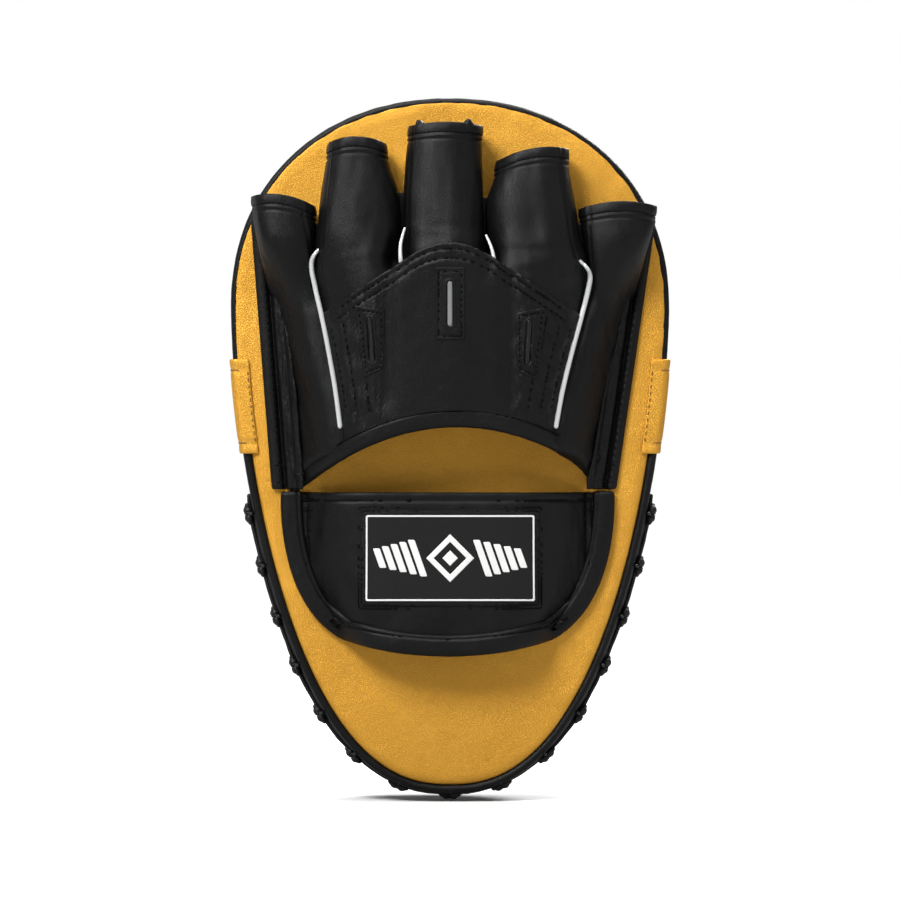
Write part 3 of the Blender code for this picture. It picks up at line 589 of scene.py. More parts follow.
def leather(name, light, dark, cells, pebble, relief, rough, crease_mask=False, **constants):
    """Leather finish: grain relief, tone that drifts over the hide, painted shade in the grain's valleys,
    handling marks.
    """
    material, tree, shader, where = new_finish(name, **constants)
    crease = 0.0
    if crease_mask:
        mask = wire(tree, "ShaderNodeAttribute", attribute_name="creased").outputs["Fac"]
        crease = maths(tree, "MULTIPLY", mask, 2.2)
    grain = group_node(tree, GRAIN, {"Vector": where, "Cells per metre": cells, "Pebble": pebble,
                                     "Crease": crease})
    marks = group_node(tree, SCUFF, {"Vector": where, "Amount": 0.4})
    hide = mixed(tree, grain["Tone"], dark, light)
    # painted shade: the colour darkens towards 0.45 of the dark tone in the grain's valleys
    painted_valley_shade = maths(tree, "MULTIPLY", grain["Pore"], 0.35 * pebble)
    colour = mixed(tree, painted_valley_shade, hide, tuple(0.45 * c for c in dark))
    level = maths(tree, "MULTIPLY_ADD", marks["Scuff"], 0.12, rough)
    level = maths(tree, "MULTIPLY_ADD", grain["Pore"], 0.10, level)
    dress(tree, shader, colour, level, grain["Height"], relief)
    return material


PRINT_COLUMN = 29.0                          # pitch of the print's columns and rows, in millimetres
PRINT_ROW = 15.5


def printed_leather():
    """Black wall leather printed with three staggered rows of small gold lozenges and ticks.

    Each cell of the print is measured in millimetres from its middle: far along the wall, high
    across it.
    """
    material, tree, shader, where = new_finish("printed_leather", Specular_IOR_Level=0.16)
    cut = wire(tree, "ShaderNodeUVMap", uv_map="Cut").outputs["UV"]
    split = wire(tree, "ShaderNodeSeparateXYZ", {0: cut})
    row = maths(tree, "DIVIDE", split.outputs["Y"], PRINT_ROW * MM)
    stagger = maths(tree, "MULTIPLY", maths(tree, "MODULO", maths(tree, "FLOOR", row), 2.0), 0.5)
    column = maths(tree, "ADD", maths(tree, "DIVIDE", split.outputs["X"], PRINT_COLUMN * MM), stagger)
    from_middle = []
    for cell, pitch in ((column, PRINT_COLUMN), (row, PRINT_ROW)):
        offset = maths(tree, "SUBTRACT", maths(tree, "FRACT", cell), 0.5)
        from_middle.append(maths(tree, "MULTIPLY", maths(tree, "ABSOLUTE", offset), pitch))
    far, high = from_middle
    lozenge = maths(tree, "ADD", maths(tree, "DIVIDE", far, 2.3), maths(tree, "DIVIDE", high, 3.3))
    from_ring = maths(tree, "ABSOLUTE", maths(tree, "SUBTRACT", lozenge, 0.82))
    ring = between(tree, from_ring, 0.20, 0.28, 1.0, 0.0)
    heart = between(tree, lozenge, 0.22, 0.32, 1.0, 0.0)
    reach = maths(tree, "DIVIDE", maths(tree, "ABSOLUTE", maths(tree, "SUBTRACT", far, 5.0)), 1.7)
    tick = maths(tree, "MAXIMUM", reach, maths(tree, "DIVIDE", high, 0.62))
    ticks = between(tree, tick, 0.9, 1.1, 1.0, 0.0)
    shapes = maths(tree, "MAXIMUM", maths(tree, "MAXIMUM", ring, heart), ticks)
    worn = between(tree, noise(tree, where, 700.0, 3.0, 0.7), 0.30, 0.42)
    ink = maths(tree, "MULTIPLY", shapes, worn)
    grain = group_node(tree, GRAIN, {"Vector": where, "Cells per metre": 1000.0, "Pebble": 0.6})
    hide = mixed(tree, grain["Tone"], (0.0055, 0.0055, 0.0058), (0.0090, 0.0090, 0.0095))
    level = maths(tree, "MULTIPLY_ADD", grain["Pore"], 0.15, 0.36)
    height = maths(tree, "MULTIPLY_ADD", ink, 0.35, grain["Height"])
    dress(tree, shader, mixed(tree, ink, hide, (0.62, 0.30, 0.030)), level, height, 0.10 * MM)
    return material


def vinyl(name, colour, shade, rough, cells=1100.0, relief=0.05 * MM, **constants):
    """Thin coated patch: a faint grain, a soft change of tone and light soiling."""
    material, tree, shader, where = new_finish(name, **constants)
    grain = group_node(tree, GRAIN, {"Vector": where, "Cells per metre": cells, "Pebble": 0.5})
    marks = group_node(tree, SCUFF, {"Vector": where, "Amount": 0.25})
    soiled = maths(tree, "MULTIPLY_ADD", grain["Tone"], 0.35, marks["Scuff"])
    level = maths(tree, "MULTIPLY_ADD", marks["Scuff"], 0.2, rough)
    dress(tree, shader, mixed(tree, soiled, colour, shade), level, grain["Height"], relief)
    return material


def thread(name, light, dark, **constants):
    """Sewing thread: fine twisted plies, dull all over."""
    material, tree, shader, where = new_finish(name, **constants)
    stretch = wire(tree, "ShaderNodeMapping", {"Vector": where, "Rotation": (0.6, 0.5, 0.6)})
    plies = noise(tree, stretch.outputs[0], 5200.0, 2.0, 0.5)
    level = between(tree, plies, 0.3, 0.7, 0.55, 0.75)
    dress(tree, shader, mixed(tree, plies, dark, light), level, plies, 0.05 * MM)
    return material


def cloth(name, light, dark, threads, relief, rough):
    """Woven cloth on its cut pattern, lighter where its threads lift as a painted highlight, with a slow
    random drift of tone.
    """
    material, tree, shader, where = new_finish(name, Sheen_Weight=0.2, Sheen_Roughness=0.5)
    cut = wire(tree, "ShaderNodeUVMap", uv_map="Cut").outputs["UV"]
    weave = group_node(tree, WEAVE, {"Vector": cut, "Threads per metre": threads})
    drift = between(tree, noise(tree, where, 60.0, 3.0), 0.3, 0.7, 0.0, 0.4)
    # painted highlight on the lifted threads, plus a random drift of tone
    share = maths(tree, "MULTIPLY", maths(tree, "ADD", weave["Cross"], drift), 0.7)
    level = between(tree, weave["Cross"], 0.0, 1.0, rough, rough - 0.12)
    dress(tree, shader, mixed(tree, share, dark, light), level, weave["Height"], relief)
    return material


def foam(name, light, dark, cells, relief):
    """Open-cell foam: pits where cells meet the cut face, darkened in colour as painted shade."""
    material, tree, shader, where = new_finish(name, Specular_IOR_Level=0.2)
    pits = wire(tree, "ShaderNodeTexVoronoi", {"Vector": where, "Scale": cells}, feature="F1")
    depth = between(tree, pits.outputs["Distance"], 0.1, 0.6)
    level = between(tree, depth, 0.0, 1.0, 0.95, 0.8)
    # painted shade: the pits' colour goes to the dark tone where they are deepest
    dress(tree, shader, mixed(tree, depth, dark, light), level, depth, relief)
    return material


def fibre_board():
    """Pressed board: long fibres in a warm brown sheet."""
    material, tree, shader, where = new_finish("fibre_board", Specular_IOR_Level=0.3)
    stretch = wire(tree, "ShaderNodeMapping", {"Vector": where, "Scale": (1.0, 1.0, 0.12)})
    fibres = noise(tree, stretch.outputs[0], 900.0, 5.0, 0.7)
    colour = mixed(tree, fibres, (0.16, 0.10, 0.055), (0.36, 0.26, 0.16))
    dress(tree, shader, colour, between(tree, fibres, 0.3, 0.7, 0.75, 0.9), fibres, 0.08 * MM)
    return material


def pale_floor():
    """Matt white floor with a trace of unevenness; what it bounces onto the mitt is a dimmer grey."""
    material, tree, shader, where = new_finish("pale_floor", Specular_IOR_Level=0.1)
    drift = noise(tree, where, 3.0, 3.0)
    white = mixed(tree, drift, (0.93, 0.93, 0.93), (0.96, 0.96, 0.96))
    seen = wire(tree, "ShaderNodeLightPath").outputs["Is Camera Ray"]
    tree.links.new(mixed(tree, seen, (0.34, 0.34, 0.34), white), shader.inputs["Base Color"])
    tree.links.new(between(tree, drift, 0.3, 0.7, 0.85, 0.95), shader.inputs["Roughness"])
    return material


FINISH = {
    "gold": leather("gold_leather", (0.775, 0.390, 0.046), (0.700, 0.342, 0.036), 1150.0, 0.9,
                    0.10 * MM, 0.37, Metallic=0.58, Specular_IOR_Level=0.30, Coat_Weight=0.06,
                    Coat_Roughness=0.35),
    "black": leather("black_leather", (0.0048, 0.0049, 0.0051), (0.0026, 0.0027, 0.0028), 1500.0, 0.45,
                     0.10 * MM, 0.32, crease_mask=True, Specular_IOR_Level=0.18),
    "pebbled": leather("pebbled_black_leather", (0.0050, 0.0051, 0.0053), (0.0026, 0.0027, 0.0028), 950.0,
                       1.0, 0.14 * MM, 0.37, crease_mask=True, Specular_IOR_Level=0.18),
    "printed": printed_leather(),
    "piping": vinyl("white_piping", (0.66, 0.67, 0.68), (0.52, 0.53, 0.54), 0.20, 1800.0, 0.02 * MM,
                    Metallic=0.25, Coat_Weight=0.4, Coat_Roughness=0.15),
    "slot": vinyl("vent_slot", (0.22, 0.225, 0.23), (0.12, 0.123, 0.125), 0.30, 1800.0, 0.02 * MM),
    "white": vinyl("white_vinyl", (0.70, 0.675, 0.65), (0.62, 0.595, 0.57), 0.46, Specular_IOR_Level=0.3),
    "red": vinyl("red_vinyl", (0.52, 0.008, 0.016), (0.38, 0.005, 0.010), 0.40, Specular_IOR_Level=0.3),
    "emblem": vinyl("emblem_black", (0.006, 0.006, 0.006), (0.011, 0.011, 0.012), 0.42,
                    Specular_IOR_Level=0.3),
    "label_plain": vinyl("label_plain", (0.007, 0.007, 0.007), (0.004, 0.004, 0.004), 0.50,
                         Specular_IOR_Level=0.25),
    "label_white": vinyl("label_white", (0.82, 0.82, 0.81), (0.66, 0.66, 0.65), 0.50),
    "lining": cloth("lining_cloth", (0.010, 0.010, 0.011), (0.004, 0.004, 0.004), 1100.0, 0.12 * MM, 0.90),
    "black_thread": thread("black_thread", (0.0035, 0.0035, 0.0035), (0.0012, 0.0012, 0.0012),
                           Specular_IOR_Level=0.08),
    "gold_thread": thread("gold_thread", (0.30, 0.15, 0.020), (0.16, 0.075, 0.010)),
    "red_thread": thread("red_thread", (0.50, 0.012, 0.018), (0.30, 0.006, 0.010)),
    "lace": leather("lace_leather", (0.0080, 0.0080, 0.0084), (0.0045, 0.0045, 0.0047), 1900.0, 0.5,
                    0.05 * MM, 0.40, Specular_IOR_Level=0.3),
    "soft_foam": foam("soft_foam", (0.52, 0.52, 0.48), (0.22, 0.22, 0.20), 900.0, 0.3 * MM),
    "dense_foam": foam("dense_foam", (0.10, 0.10, 0.11), (0.03, 0.03, 0.035), 2200.0, 0.12 * MM),
    "board": fibre_board(),
}


# ---------------------------------------------------------------- the pad


def pad_outline(inset_side, inset_top, inset_tip, count):
    """The pad's egg outline in x and z, from the tip anticlockwise: an upper and a lower superellipse."""
    half = HALF_WIDTH - inset_side
    rise = PAD_TOP - WIDEST_Z - inset_top
    fall = WIDEST_Z - PAD_TIP - inset_tip
    angle = np.linspace(-math.pi / 2, 1.5 * math.pi, FINE_COUNT, endpoint=False)
    across, along = np.cos(angle), np.sin(angle)
    upper = along >= 0
    x = half * np.sign(across) * np.abs(across) ** np.where(upper, 2 / TOP_POWER, 2 / TIP_POWER_X)
    z = np.sign(along) * np.abs(along) ** np.where(upper, 2 / TOP_POWER, 2 / TIP_POWER_Z)
    z = WIDEST_Z + np.where(upper, rise, fall) * z
    return even_line(np.stack([x, z], 1), count, closed=True)


def section(depth, extra, count):
    """Ring of the pad at a depth in front of the back face, extra inside the wall's face."""
    share = (np.clip(depth, 0.0, None) / PAD_DEPTH) ** SIDE_LEAN_POWER
    outline = pad_outline(extra + share * INSET_SIDE, extra + share * INSET_TOP,
                          extra + share * INSET_TIP, count)
    return np.stack([outline[:, 0], np.full(count, BACK - depth), outline[:, 1]], 1)


def crowning(x, z, inset_side, inset_top, inset_tip):
    """1 in the middle of the pad and 0 at its edge: one less the square of the egg's own measure."""
    upper = ease(z, WIDEST_Z - 30 * MM, WIDEST_Z + 30 * MM)
    x_power = TIP_POWER_X + (TOP_POWER - TIP_POWER_X) * upper
    share_x = (np.abs(x) / (HALF_WIDTH - inset_side)) ** x_power
    above = np.clip(z - WIDEST_Z, 0.0, None) / (PAD_TOP - WIDEST_Z - inset_top)
    below = np.clip(WIDEST_Z - z, 0.0, None) / (WIDEST_Z - PAD_TIP - inset_tip)
    measure = share_x + above ** TOP_POWER + below ** TIP_POWER_Z
    return np.clip(1 - measure ** 2, 0.0, 1.0)


BACK_CROWN = 0.9 * MM
FACE_CROWN = 2.2 * MM
EDGE_ROLL_BACK = (4.0 * MM, 1.2 * MM)        # width and drop of the back cover's rounded edge
EDGE_ROLL_FACE = (7.5 * MM, 2.6 * MM)
COVER_COUNT = 360                            # points round a cover's ring
COVER_EDGE_RINGS = 12                        # rings over the rounded edge, then rings in to the middle
COVER_FLAT_RINGS = 44
COVER_THICK = 1.3 * MM


def back_crown(x, z):
    """How far the back cover stands proud of the CAD's flat face."""
    return BACK_CROWN * crowning(x, z, 4 * MM, 4 * MM, 4 * MM)


def face_crown(x, z):
    """How far the strike cover stands proud of the CAD's flat face."""
    return FACE_CROWN * crowning(x, z, INSET_SIDE, INSET_TOP, INSET_TIP)


def on_back(x, z, lift):
    """Points over the back cover."""
    return np.stack(np.broadcast_arrays(x, BACK + back_crown(x, z) + lift, z), -1)


def on_face(x, z, lift):
    """Points over the strike cover."""
    return np.stack(np.broadcast_arrays(x, FACE - face_crown(x, z) - lift, z), -1)


def above_tabs(z):
    """1 above the side tabs, 0 below them."""
    return ease(z, 150 * MM, 170 * MM)


def cover(name, edge_extra, depth, crown, roll, outward, seed, node, lap=0.0):
    """Padded leather cover: rings drawn in from its seam, crowned, with a rounded edge and soft waves.

    The first rings follow the outline inwards over the rounded edge; the rest shrink to the middle.
    Above the side tabs the edge laps further out over the welt, flatter and a little higher.
    """
    insets = roll[0] * np.linspace(0.0, 1.0, COVER_EDGE_RINGS) ** 1.4
    rings = []
    for inset in insets:
        ring = section(depth, edge_extra + inset, COVER_COUNT)
        along = np.roll(ring, -1, 0) - np.roll(ring, 1, 0)
        away = unit(np.cross(along, TOWARDS_FACE))
        rings.append(ring + away * (lap * above_tabs(ring[:, 2]))[:, None])
    drops = [roll[1] * (1 - math.sqrt(1 - (1 - inset / roll[0]) ** 2)) for inset in insets]
    drops += [0.0] * COVER_FLAT_RINGS
    edge = rings[-1]
    for share in np.linspace(0.0, 1.0, COVER_FLAT_RINGS + 2)[1:-1]:
        rings.append(edge * (1 - share) + PAD_MIDDLE * share)
    rings = np.stack(rings)
    x, z = rings[..., 0], rings[..., 2]
    near_edge = np.exp(-np.concatenate([insets, np.ones(COVER_FLAT_RINGS)]) / (9 * MM))[:, None]
    waves = 0.22 * MM * soft_noise(np.stack([x, z], -1), 0.055, seed)
    gathers = 0.16 * MM * near_edge * soft_noise(np.stack([x, z], -1), 0.011, seed + 1)
    lapped = above_tabs(z) if lap else 0.0
    height = crown(x, z) - np.array(drops)[:, None] * (1 - 0.58 * lapped) + waves + gathers
    height = height + 0.35 * MM * near_edge * lapped
    rings[..., 1] = BACK - depth + outward * height
    under = rings[[0]].copy()
    under[..., 1] -= outward * COVER_THICK
    deeper = under.copy()
    deeper[..., [0, 2]] = deeper[..., [0, 2]] * 0.5 + PAD_MIDDLE[[0, 2]] * 0.5
    return stand_in(ring_stack(name, np.concatenate([deeper, under, rings]), "gold"), node)


def make_covers():
    """Back cover and strike cover, with a row of gold stitches inside the strike cover's edge."""
    back = cover("back_cover_leather", 2 * BACK_WELT_RADIUS + 0.1 * MM, 0.0, back_crown, EDGE_ROLL_BACK,
                 1.0, 11, "back_cover", lap=1.8 * MM)
    face = cover("strike_cover_leather", WALL_SEAM + FRONT_WELT_RADIUS, PAD_DEPTH, face_crown,
                 EDGE_ROLL_FACE, -1.0, 21, "strike_cover")
    inset = 2.6 * MM
    ring = section(PAD_DEPTH, WALL_SEAM + FRONT_WELT_RADIUS + inset, 900)
    share = 1 - math.sqrt(1 - (1 - inset / EDGE_ROLL_FACE[0]) ** 2)
    ring[:, 1] = FACE - face_crown(ring[:, 0], ring[:, 2]) + EDGE_ROLL_FACE[1] * share
    inward = unit(PAD_MIDDLE - ring) * np.array([1.0, 0.0, 1.0])
    normal = unit(TOWARDS_FACE - 0.35 * inward)
    ring, normal = np.vstack([ring, ring[:1]]), np.vstack([normal, normal[:1]])
    stitch_row("strike_cover_stitches", [(ring, normal)], finish="gold_thread", pitch=3.4 * MM)


WALL_START = 2 * BACK_WELT_RADIUS - 0.6 * MM
WALL_END = PAD_DEPTH - 2 * FRONT_WELT_RADIUS + 0.4 * MM
WALL_LEVELS = 26


def lower_swell(z, depth):
    """How far the lower wall swells past the welt beside the lace: less at the tip and under the tabs."""
    along = ease(z, 6 * MM, 34 * MM) * (1 - ease(z, 122 * MM, 140 * MM))
    return 2.3 * MM * along * bell(depth, 6.5 * MM, 4.5 * MM)


def wall(name, along, finish, node, seed):
    """Side wall: the pad's rings over a run of the outline, puffed, gathered at its seams and swollen."""
    levels = np.linspace(WALL_START, WALL_END, WALL_LEVELS)
    rings = np.stack([section(level, WALL_SEAM, FINE_COUNT)[along] for level in levels])
    outward = grid_normals(rings)
    outward = outward * np.sign(np.sum(outward * (rings - PAD_MIDDLE), -1, keepdims=True))
    share = np.linspace(0.0, 1.0, WALL_LEVELS)[:, None]
    puff = 0.9 * MM * (1 - (2 * share - 1) ** 4) - 0.3 * MM
    length = np.concatenate([[0.0], np.cumsum(np.linalg.norm(np.diff(rings[0], axis=0), axis=1))])
    line = np.stack([length, np.zeros_like(length)], -1)
    seams = np.exp(-share / 0.16) + np.exp(-(1 - share) / 0.16)
    gather = 0.30 * MM * seams * soft_noise(line, 0.012, seed)[None]
    slow = 0.28 * MM * soft_noise(rings, 0.05, seed + 1)
    swell = lower_swell(rings[..., 2], levels[:, None])
    rings = rings + outward * (puff + gather + slow + swell)[..., None]
    sign = 1.0 if np.sum(grid_normals(rings)[5, 40] * outward[5, 40]) > 0 else -1.0
    return stand_in(leather_sheet(name, rings, 1.4 * MM, finish, outward=sign), node)


def make_walls():
    """Printed wall over the top and plain black wall round the tip, parted behind the side tabs."""
    ring = section(0.0, 0.0, FINE_COUNT)
    tab_middle = np.mean([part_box("side_tab_little")[i][2] for i in (0, 1)])
    right = int(np.argmin(np.abs(ring[:FINE_COUNT // 2, 2] - tab_middle)))
    left = FINE_COUNT - right
    wall("printed_side_wall", np.arange(right, left + 1, 3), "printed", "upper_side_wall", 31)
    lower = np.concatenate([np.arange(left, FINE_COUNT), np.arange(0, right + 1)])
    wall("plain_side_wall", lower[::3], "black", "lower_side_wall", 35)


def make_welts():
    """Rolled welt in the back seam and the thin welt in the front seam, each a wrapped cord."""
    for name, depth, extra, radius, node, seed in (
            ("back_welt_cord", BACK_WELT_RADIUS, BACK_WELT_RADIUS, BACK_WELT_RADIUS, "back_welt", 41),
            ("front_welt_cord", FRONT_SEAM_DEPTH, WALL_SEAM, FRONT_WELT_RADIUS, "front_welt", 43)):
        path = section(depth, extra, 720)
        uneven = radius * (1 + 0.045 * soft_noise(path, 0.009, seed))
        body = cord_body(path, TOWARDS_HAND, uneven, sides=14, closed=True)
        stand_in(cords(name, [body], "black"), node)


TAB_THICK = 1.2 * MM
TAB_LAP = 6.5 * MM
TAB_LAP_STEPS = 6
TAB_COLUMNS = 30


def make_tabs():
    """Gold tabs that wrap the back seam and the wall, stitched along their upper and lower edges.

    The profile runs from the back face over the welt and down the wall; each height of the tab
    finds the outline there.
    """
    lift = GAP + TAB_THICK
    welt = BACK_WELT_RADIUS
    turn = np.linspace(-0.5 * math.pi, 0.35 * math.pi, 14)
    down = np.linspace(2.6 * welt, PAD_DEPTH - 2 * FRONT_WELT_RADIUS - GAP, 22)
    insets = np.concatenate([np.linspace(TAB_LAP, 2.4 * welt, TAB_LAP_STEPS),
                             welt - (welt + lift) * np.cos(turn),
                             WALL_SEAM - lift - 0.9 * MM * (1 - (down / PAD_DEPTH * 2 - 1) ** 4)])
    depths = np.concatenate([np.full(TAB_LAP_STEPS, -lift), welt + (welt + lift) * np.sin(turn), down])
    for side, finger in ((1, "little"), (-1, "thumb")):
        name, node = f"gold_tab_{finger}", f"side_tab_{finger}"
        heights = np.linspace(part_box(node)[0][2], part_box(node)[1][2], TAB_COLUMNS)
        rows = []
        for inset, depth in zip(insets, depths):
            ring = section(depth, inset, FINE_COUNT)
            half = ring[ring[:, 0] * side > 0]
            half = half[np.argsort(half[:, 2])]
            x = np.interp(heights, half[:, 2], half[:, 0])
            rows.append(np.stack([x, np.full(TAB_COLUMNS, BACK - depth), heights], 1))
        grid = np.stack(rows)
        outward = np.sign(grid_normals(grid)[20, TAB_COLUMNS // 2, 0] * side)
        normal = grid_normals(grid) * outward
        share = np.linspace(0.0, 1.0, TAB_COLUMNS)
        press = 0.35 * MM * (bell(share, 0.10, 0.035) + bell(share, 0.90, 0.035))
        grid = grid - normal * press[None, :, None]
        stand_in(leather_sheet(name, grid, TAB_THICK, "gold", outward=outward), node)
        lines = [(grid[1:-1, column], normal[1:-1, column]) for column in (3, TAB_COLUMNS - 4)]
        lines.append((grid[1, 3:-3], normal[1, 3:-3]))
        stitch_row(name + "_stitches", lines, finish="gold_thread", pitch=2.8 * MM)


LACE_RADIUS = 0.9 * MM
LACE_DEPTH = 6.2 * MM
LACE_TOP_Z = 131 * MM
HITCH_PITCH = 22.5 * MM
HITCHES_PER_SIDE = 7
HITCH_REACH = 3.4 * MM                       # half the length of a hitch's lobes
LOBE_WIDTH = 2.6 * MM
WAIST_CORD = 0.62 * MM
SWELL_FOLLOWED = 0.72                        # share of the wall's swelling that the lace rides on


def make_lace():
    """Lace along the lower wall, with a hitch at an even pitch from the tip up both sides.

    A hitch is two soft lobes along the seam, two turns of lace round its waist and a tail that
    runs over the back welt.
    """
    ring = section(LACE_DEPTH, WALL_SEAM - GAP - LACE_RADIUS, FINE_COUNT)
    below = ring[:, 2] < LACE_TOP_Z
    rises_past = int(np.argmin(below))
    falls_past = FINE_COUNT - int(np.argmin(below[::-1]))
    path = even_line(np.vstack([ring[falls_past:], ring[:rises_past]]), 420)
    outward = unit(np.cross(np.gradient(path, axis=0), TOWARDS_FACE))
    swell = SWELL_FOLLOWED * lower_swell(path[:, 2], LACE_DEPTH)
    path = path + outward * (swell + 0.25 * MM * soft_noise(path, 0.02, 51))[:, None]
    stand_in(cords("seam_lace_cord", [cord_body(path, outward, LACE_RADIUS, 10)], "lace"), "seam_lace")
    ring = section(LACE_DEPTH, 0.0, FINE_COUNT)
    length = np.linalg.norm(np.diff(np.vstack([ring, ring[:1]]), axis=0), axis=1).sum()
    step = HITCH_PITCH / length * FINE_COUNT
    rng = np.random.default_rng(61)
    for number in range(2 * HITCHES_PER_SIDE + 1):
        place = round((number - HITCHES_PER_SIDE) * step) % FINE_COUNT
        along = unit(ring[(place + 2) % FINE_COUNT] - ring[(place - 2) % FINE_COUNT])
        away = np.cross(along, TOWARDS_FACE)
        swell = SWELL_FOLLOWED * float(lower_swell(ring[place, 2], LACE_DEPTH))
        centre = ring[place] + away * (0.75 * MM + swell)
        tilt = rng.uniform(-0.16, 0.16)
        axis = unit(along + tilt * TOWARDS_FACE)
        cross = unit(np.cross(away, axis))
        t = np.linspace(-1.0, 1.0, 17)[:, None]
        lobes = centre + axis * HITCH_REACH * t + cross * 0.35 * MM * np.sin(math.pi * t)
        thick = LOBE_WIDTH * (0.55 + 0.45 * np.sin(math.pi * np.abs(t[:, 0])) ** 0.8)
        bodies = [cord_body(lobes, away, thick, 12, squash=0.80)]
        angle = np.linspace(0.0, 2 * math.pi, 20, endpoint=False)[:, None]
        for offset in (-WAIST_CORD, WAIST_CORD):
            loop = centre + axis * offset + cross * 1.8 * MM * np.cos(angle)
            loop = loop + away * 1.35 * MM * np.sin(angle)
            bodies.append(cord_body(loop, axis, WAIST_CORD, 8, closed=True))
        run = np.linspace(0.0, 1.0, 9)[:, None]
        tail = centre - away * 0.3 * MM - TOWARDS_FACE * (run * (LACE_DEPTH - 1.0 * MM))
        tail = tail - away * 1.1 * MM * run ** 2
        bodies.append(cord_body(tail, away, 0.75 * MM, 8, squash=0.8))
        knot = cords(f"lace_knot_{number + 1:02d}", bodies, "lace")
        stand_in(knot, f"lace_hitch_{number + 1:02d}")


# ---------------------------------------------------------------- patches on the strike face


PATCH_THICK = 0.8 * MM
PRINT_THICK = 0.15 * MM
LOZENGE = np.array([(1.0, 0.0), (0.0, 1.0), (-1.0, 0.0), (0.0, -1.0)])


def ellipse(width, height, count=160):
    """Points of an ellipse in x and z."""
    angle = np.linspace(0.0, 2 * math.pi, count, endpoint=False)
    return np.stack([width / 2 * np.cos(angle), height / 2 * np.sin(angle)], 1)


def rounded_rectangle(width, height, corner, steps=8, edge=12):
    """Points of a rectangle with round corners: steps to each corner and edge to each straight."""
    corners = []
    for quarter in range(4):
        centre_x = (width / 2 - corner) * (1 if quarter in (0, 3) else -1)
        centre_y = (height / 2 - corner) * (1 if quarter in (0, 1) else -1)
        angle = np.linspace(0, math.pi / 2, steps) + quarter * math.pi / 2
        corners.append(np.stack([centre_x + corner * np.cos(angle), centre_y + corner * np.sin(angle)], 1))
    points = []
    share = np.linspace(0.0, 1.0, edge + 2)[1:-1, None]
    for quarter in range(4):
        start, end = corners[quarter][-1], corners[(quarter + 1) % 4][0]
        points += [corners[quarter], start + (end - start) * share]
    return np.vstack(points)


def moved(outline, x, z):
    """Outline moved to a place."""
    return outline + np.array([x, z])


def slanted_bar(x, z, width, height, slant):
    """Slanted bar: a rounded rectangle sheared along x."""
    bar = rounded_rectangle(width, height, 0.18 * min(width, height), 4, 4)
    bar[:, 0] += slant * bar[:, 1]
    return moved(bar, x, z)


CREST_BARS = 5                               # in each fan


def emblem_shapes(width, height, mirror):
    """A made-up crest: a lozenge in a lozenge ring between fans of slanted bars that get shorter.

    Gives outlines, each with its hole or None.
    """
    lozenge = even_line(LOZENGE, 64, closed=True)
    shapes = [(lozenge * (0.62 * height), lozenge * (0.42 * height)), (lozenge * (0.20 * height), None)]
    gap = width / 2 - 0.66 * height
    for side in (-1.0, 1.0):
        for number in range(CREST_BARS):
            share = (number + 0.5) / CREST_BARS
            bar_height = height * (1.0 - 0.55 * share)
            x = side * (0.72 * height + (gap - 0.06 * height) * share)
            bar = slanted_bar(x, 0.0, gap / CREST_BARS * 0.70, bar_height, 0.35 * mirror)
            shapes.append((bar, None))
    return shapes


def crest(name, place, width, height, centre, finish, thickness, lift, body="root", mirror=1.0):
    """The made-up crest as thin shapes laid on a surface."""
    pieces = []
    for number, (outline, hole) in enumerate(emblem_shapes(width, height, mirror)):
        def lifted(x, z, rise):
            """The surface under this shape."""
            return place(x, z, rise + lift)
        hole_ = None if hole is None else moved(hole, *centre)
        shape = patch(f"{name}_{number}", lifted, moved(outline, *centre), thickness, finish, body,
                      rings=5, hole=hole_)
        pieces.append(shape)
    return joined(name, pieces)


def joined(name, pieces):
    """Several pieces of one finish as one piece."""
    build = bmesh.new()
    for piece in pieces:
        build.from_mesh(piece.data)
    keep = pieces[0]
    build.to_mesh(keep.data)
    build.free()
    for piece in pieces[1:]:
        bpy.data.objects.remove(piece, do_unlink=True)
    keep.name = name
    keep.data.name = name
    return keep


def middle_of(node):
    """x and z of the middle of a node's box, and its width and height."""
    low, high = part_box(node)
    return (low[0] + high[0]) / 2, (low[2] + high[2]) / 2, high[0] - low[0], high[2] - low[2]


def make_face_patches():
    """Oval badge with its ring and crest, aiming dot and maker's label."""
    x, z, width, height = middle_of("oval_ring")
    _, _, inner_width, inner_height = middle_of("oval_field")
    hole = moved(ellipse(inner_width, inner_height), x, z)
    ring = patch("oval_ring_patch", on_face, moved(ellipse(width, height), x, z), PATCH_THICK, "red",
                 rings=5, hole=hole)
    stand_in(ring, "oval_ring")
    outline = moved(ellipse(inner_width + 0.2 * MM, inner_height + 0.2 * MM), x, z)
    stand_in(patch("oval_field_patch", on_face, outline, 0.7 * MM, "white", rings=14), "oval_field")
    crest("oval_crest", on_face, 0.80 * inner_width, 0.34 * inner_height, (x, z), "emblem", 0.18 * MM,
          0.66 * MM, mirror=-1.0)
    line = moved(ellipse(width - 3.0 * MM, height - 3.0 * MM, 300), x, z)
    line = np.vstack([line, line[:1]])
    points = on_face(line[:, 0], line[:, 1], PATCH_THICK)
    stitch_row("oval_stitches", [(points, TOWARDS_FACE)], finish="red_thread", pitch=2.2 * MM,
               radius=0.18 * MM)
    x, z, width, height = middle_of("target_dot")
    outline = moved(ellipse(width, height), x, z)
    stand_in(patch("target_dot_patch", on_face, outline, PATCH_THICK, "white", rings=14), "target_dot")
    make_maker_label()


BEADS = 36
BEAD_RING = 9.2 * MM


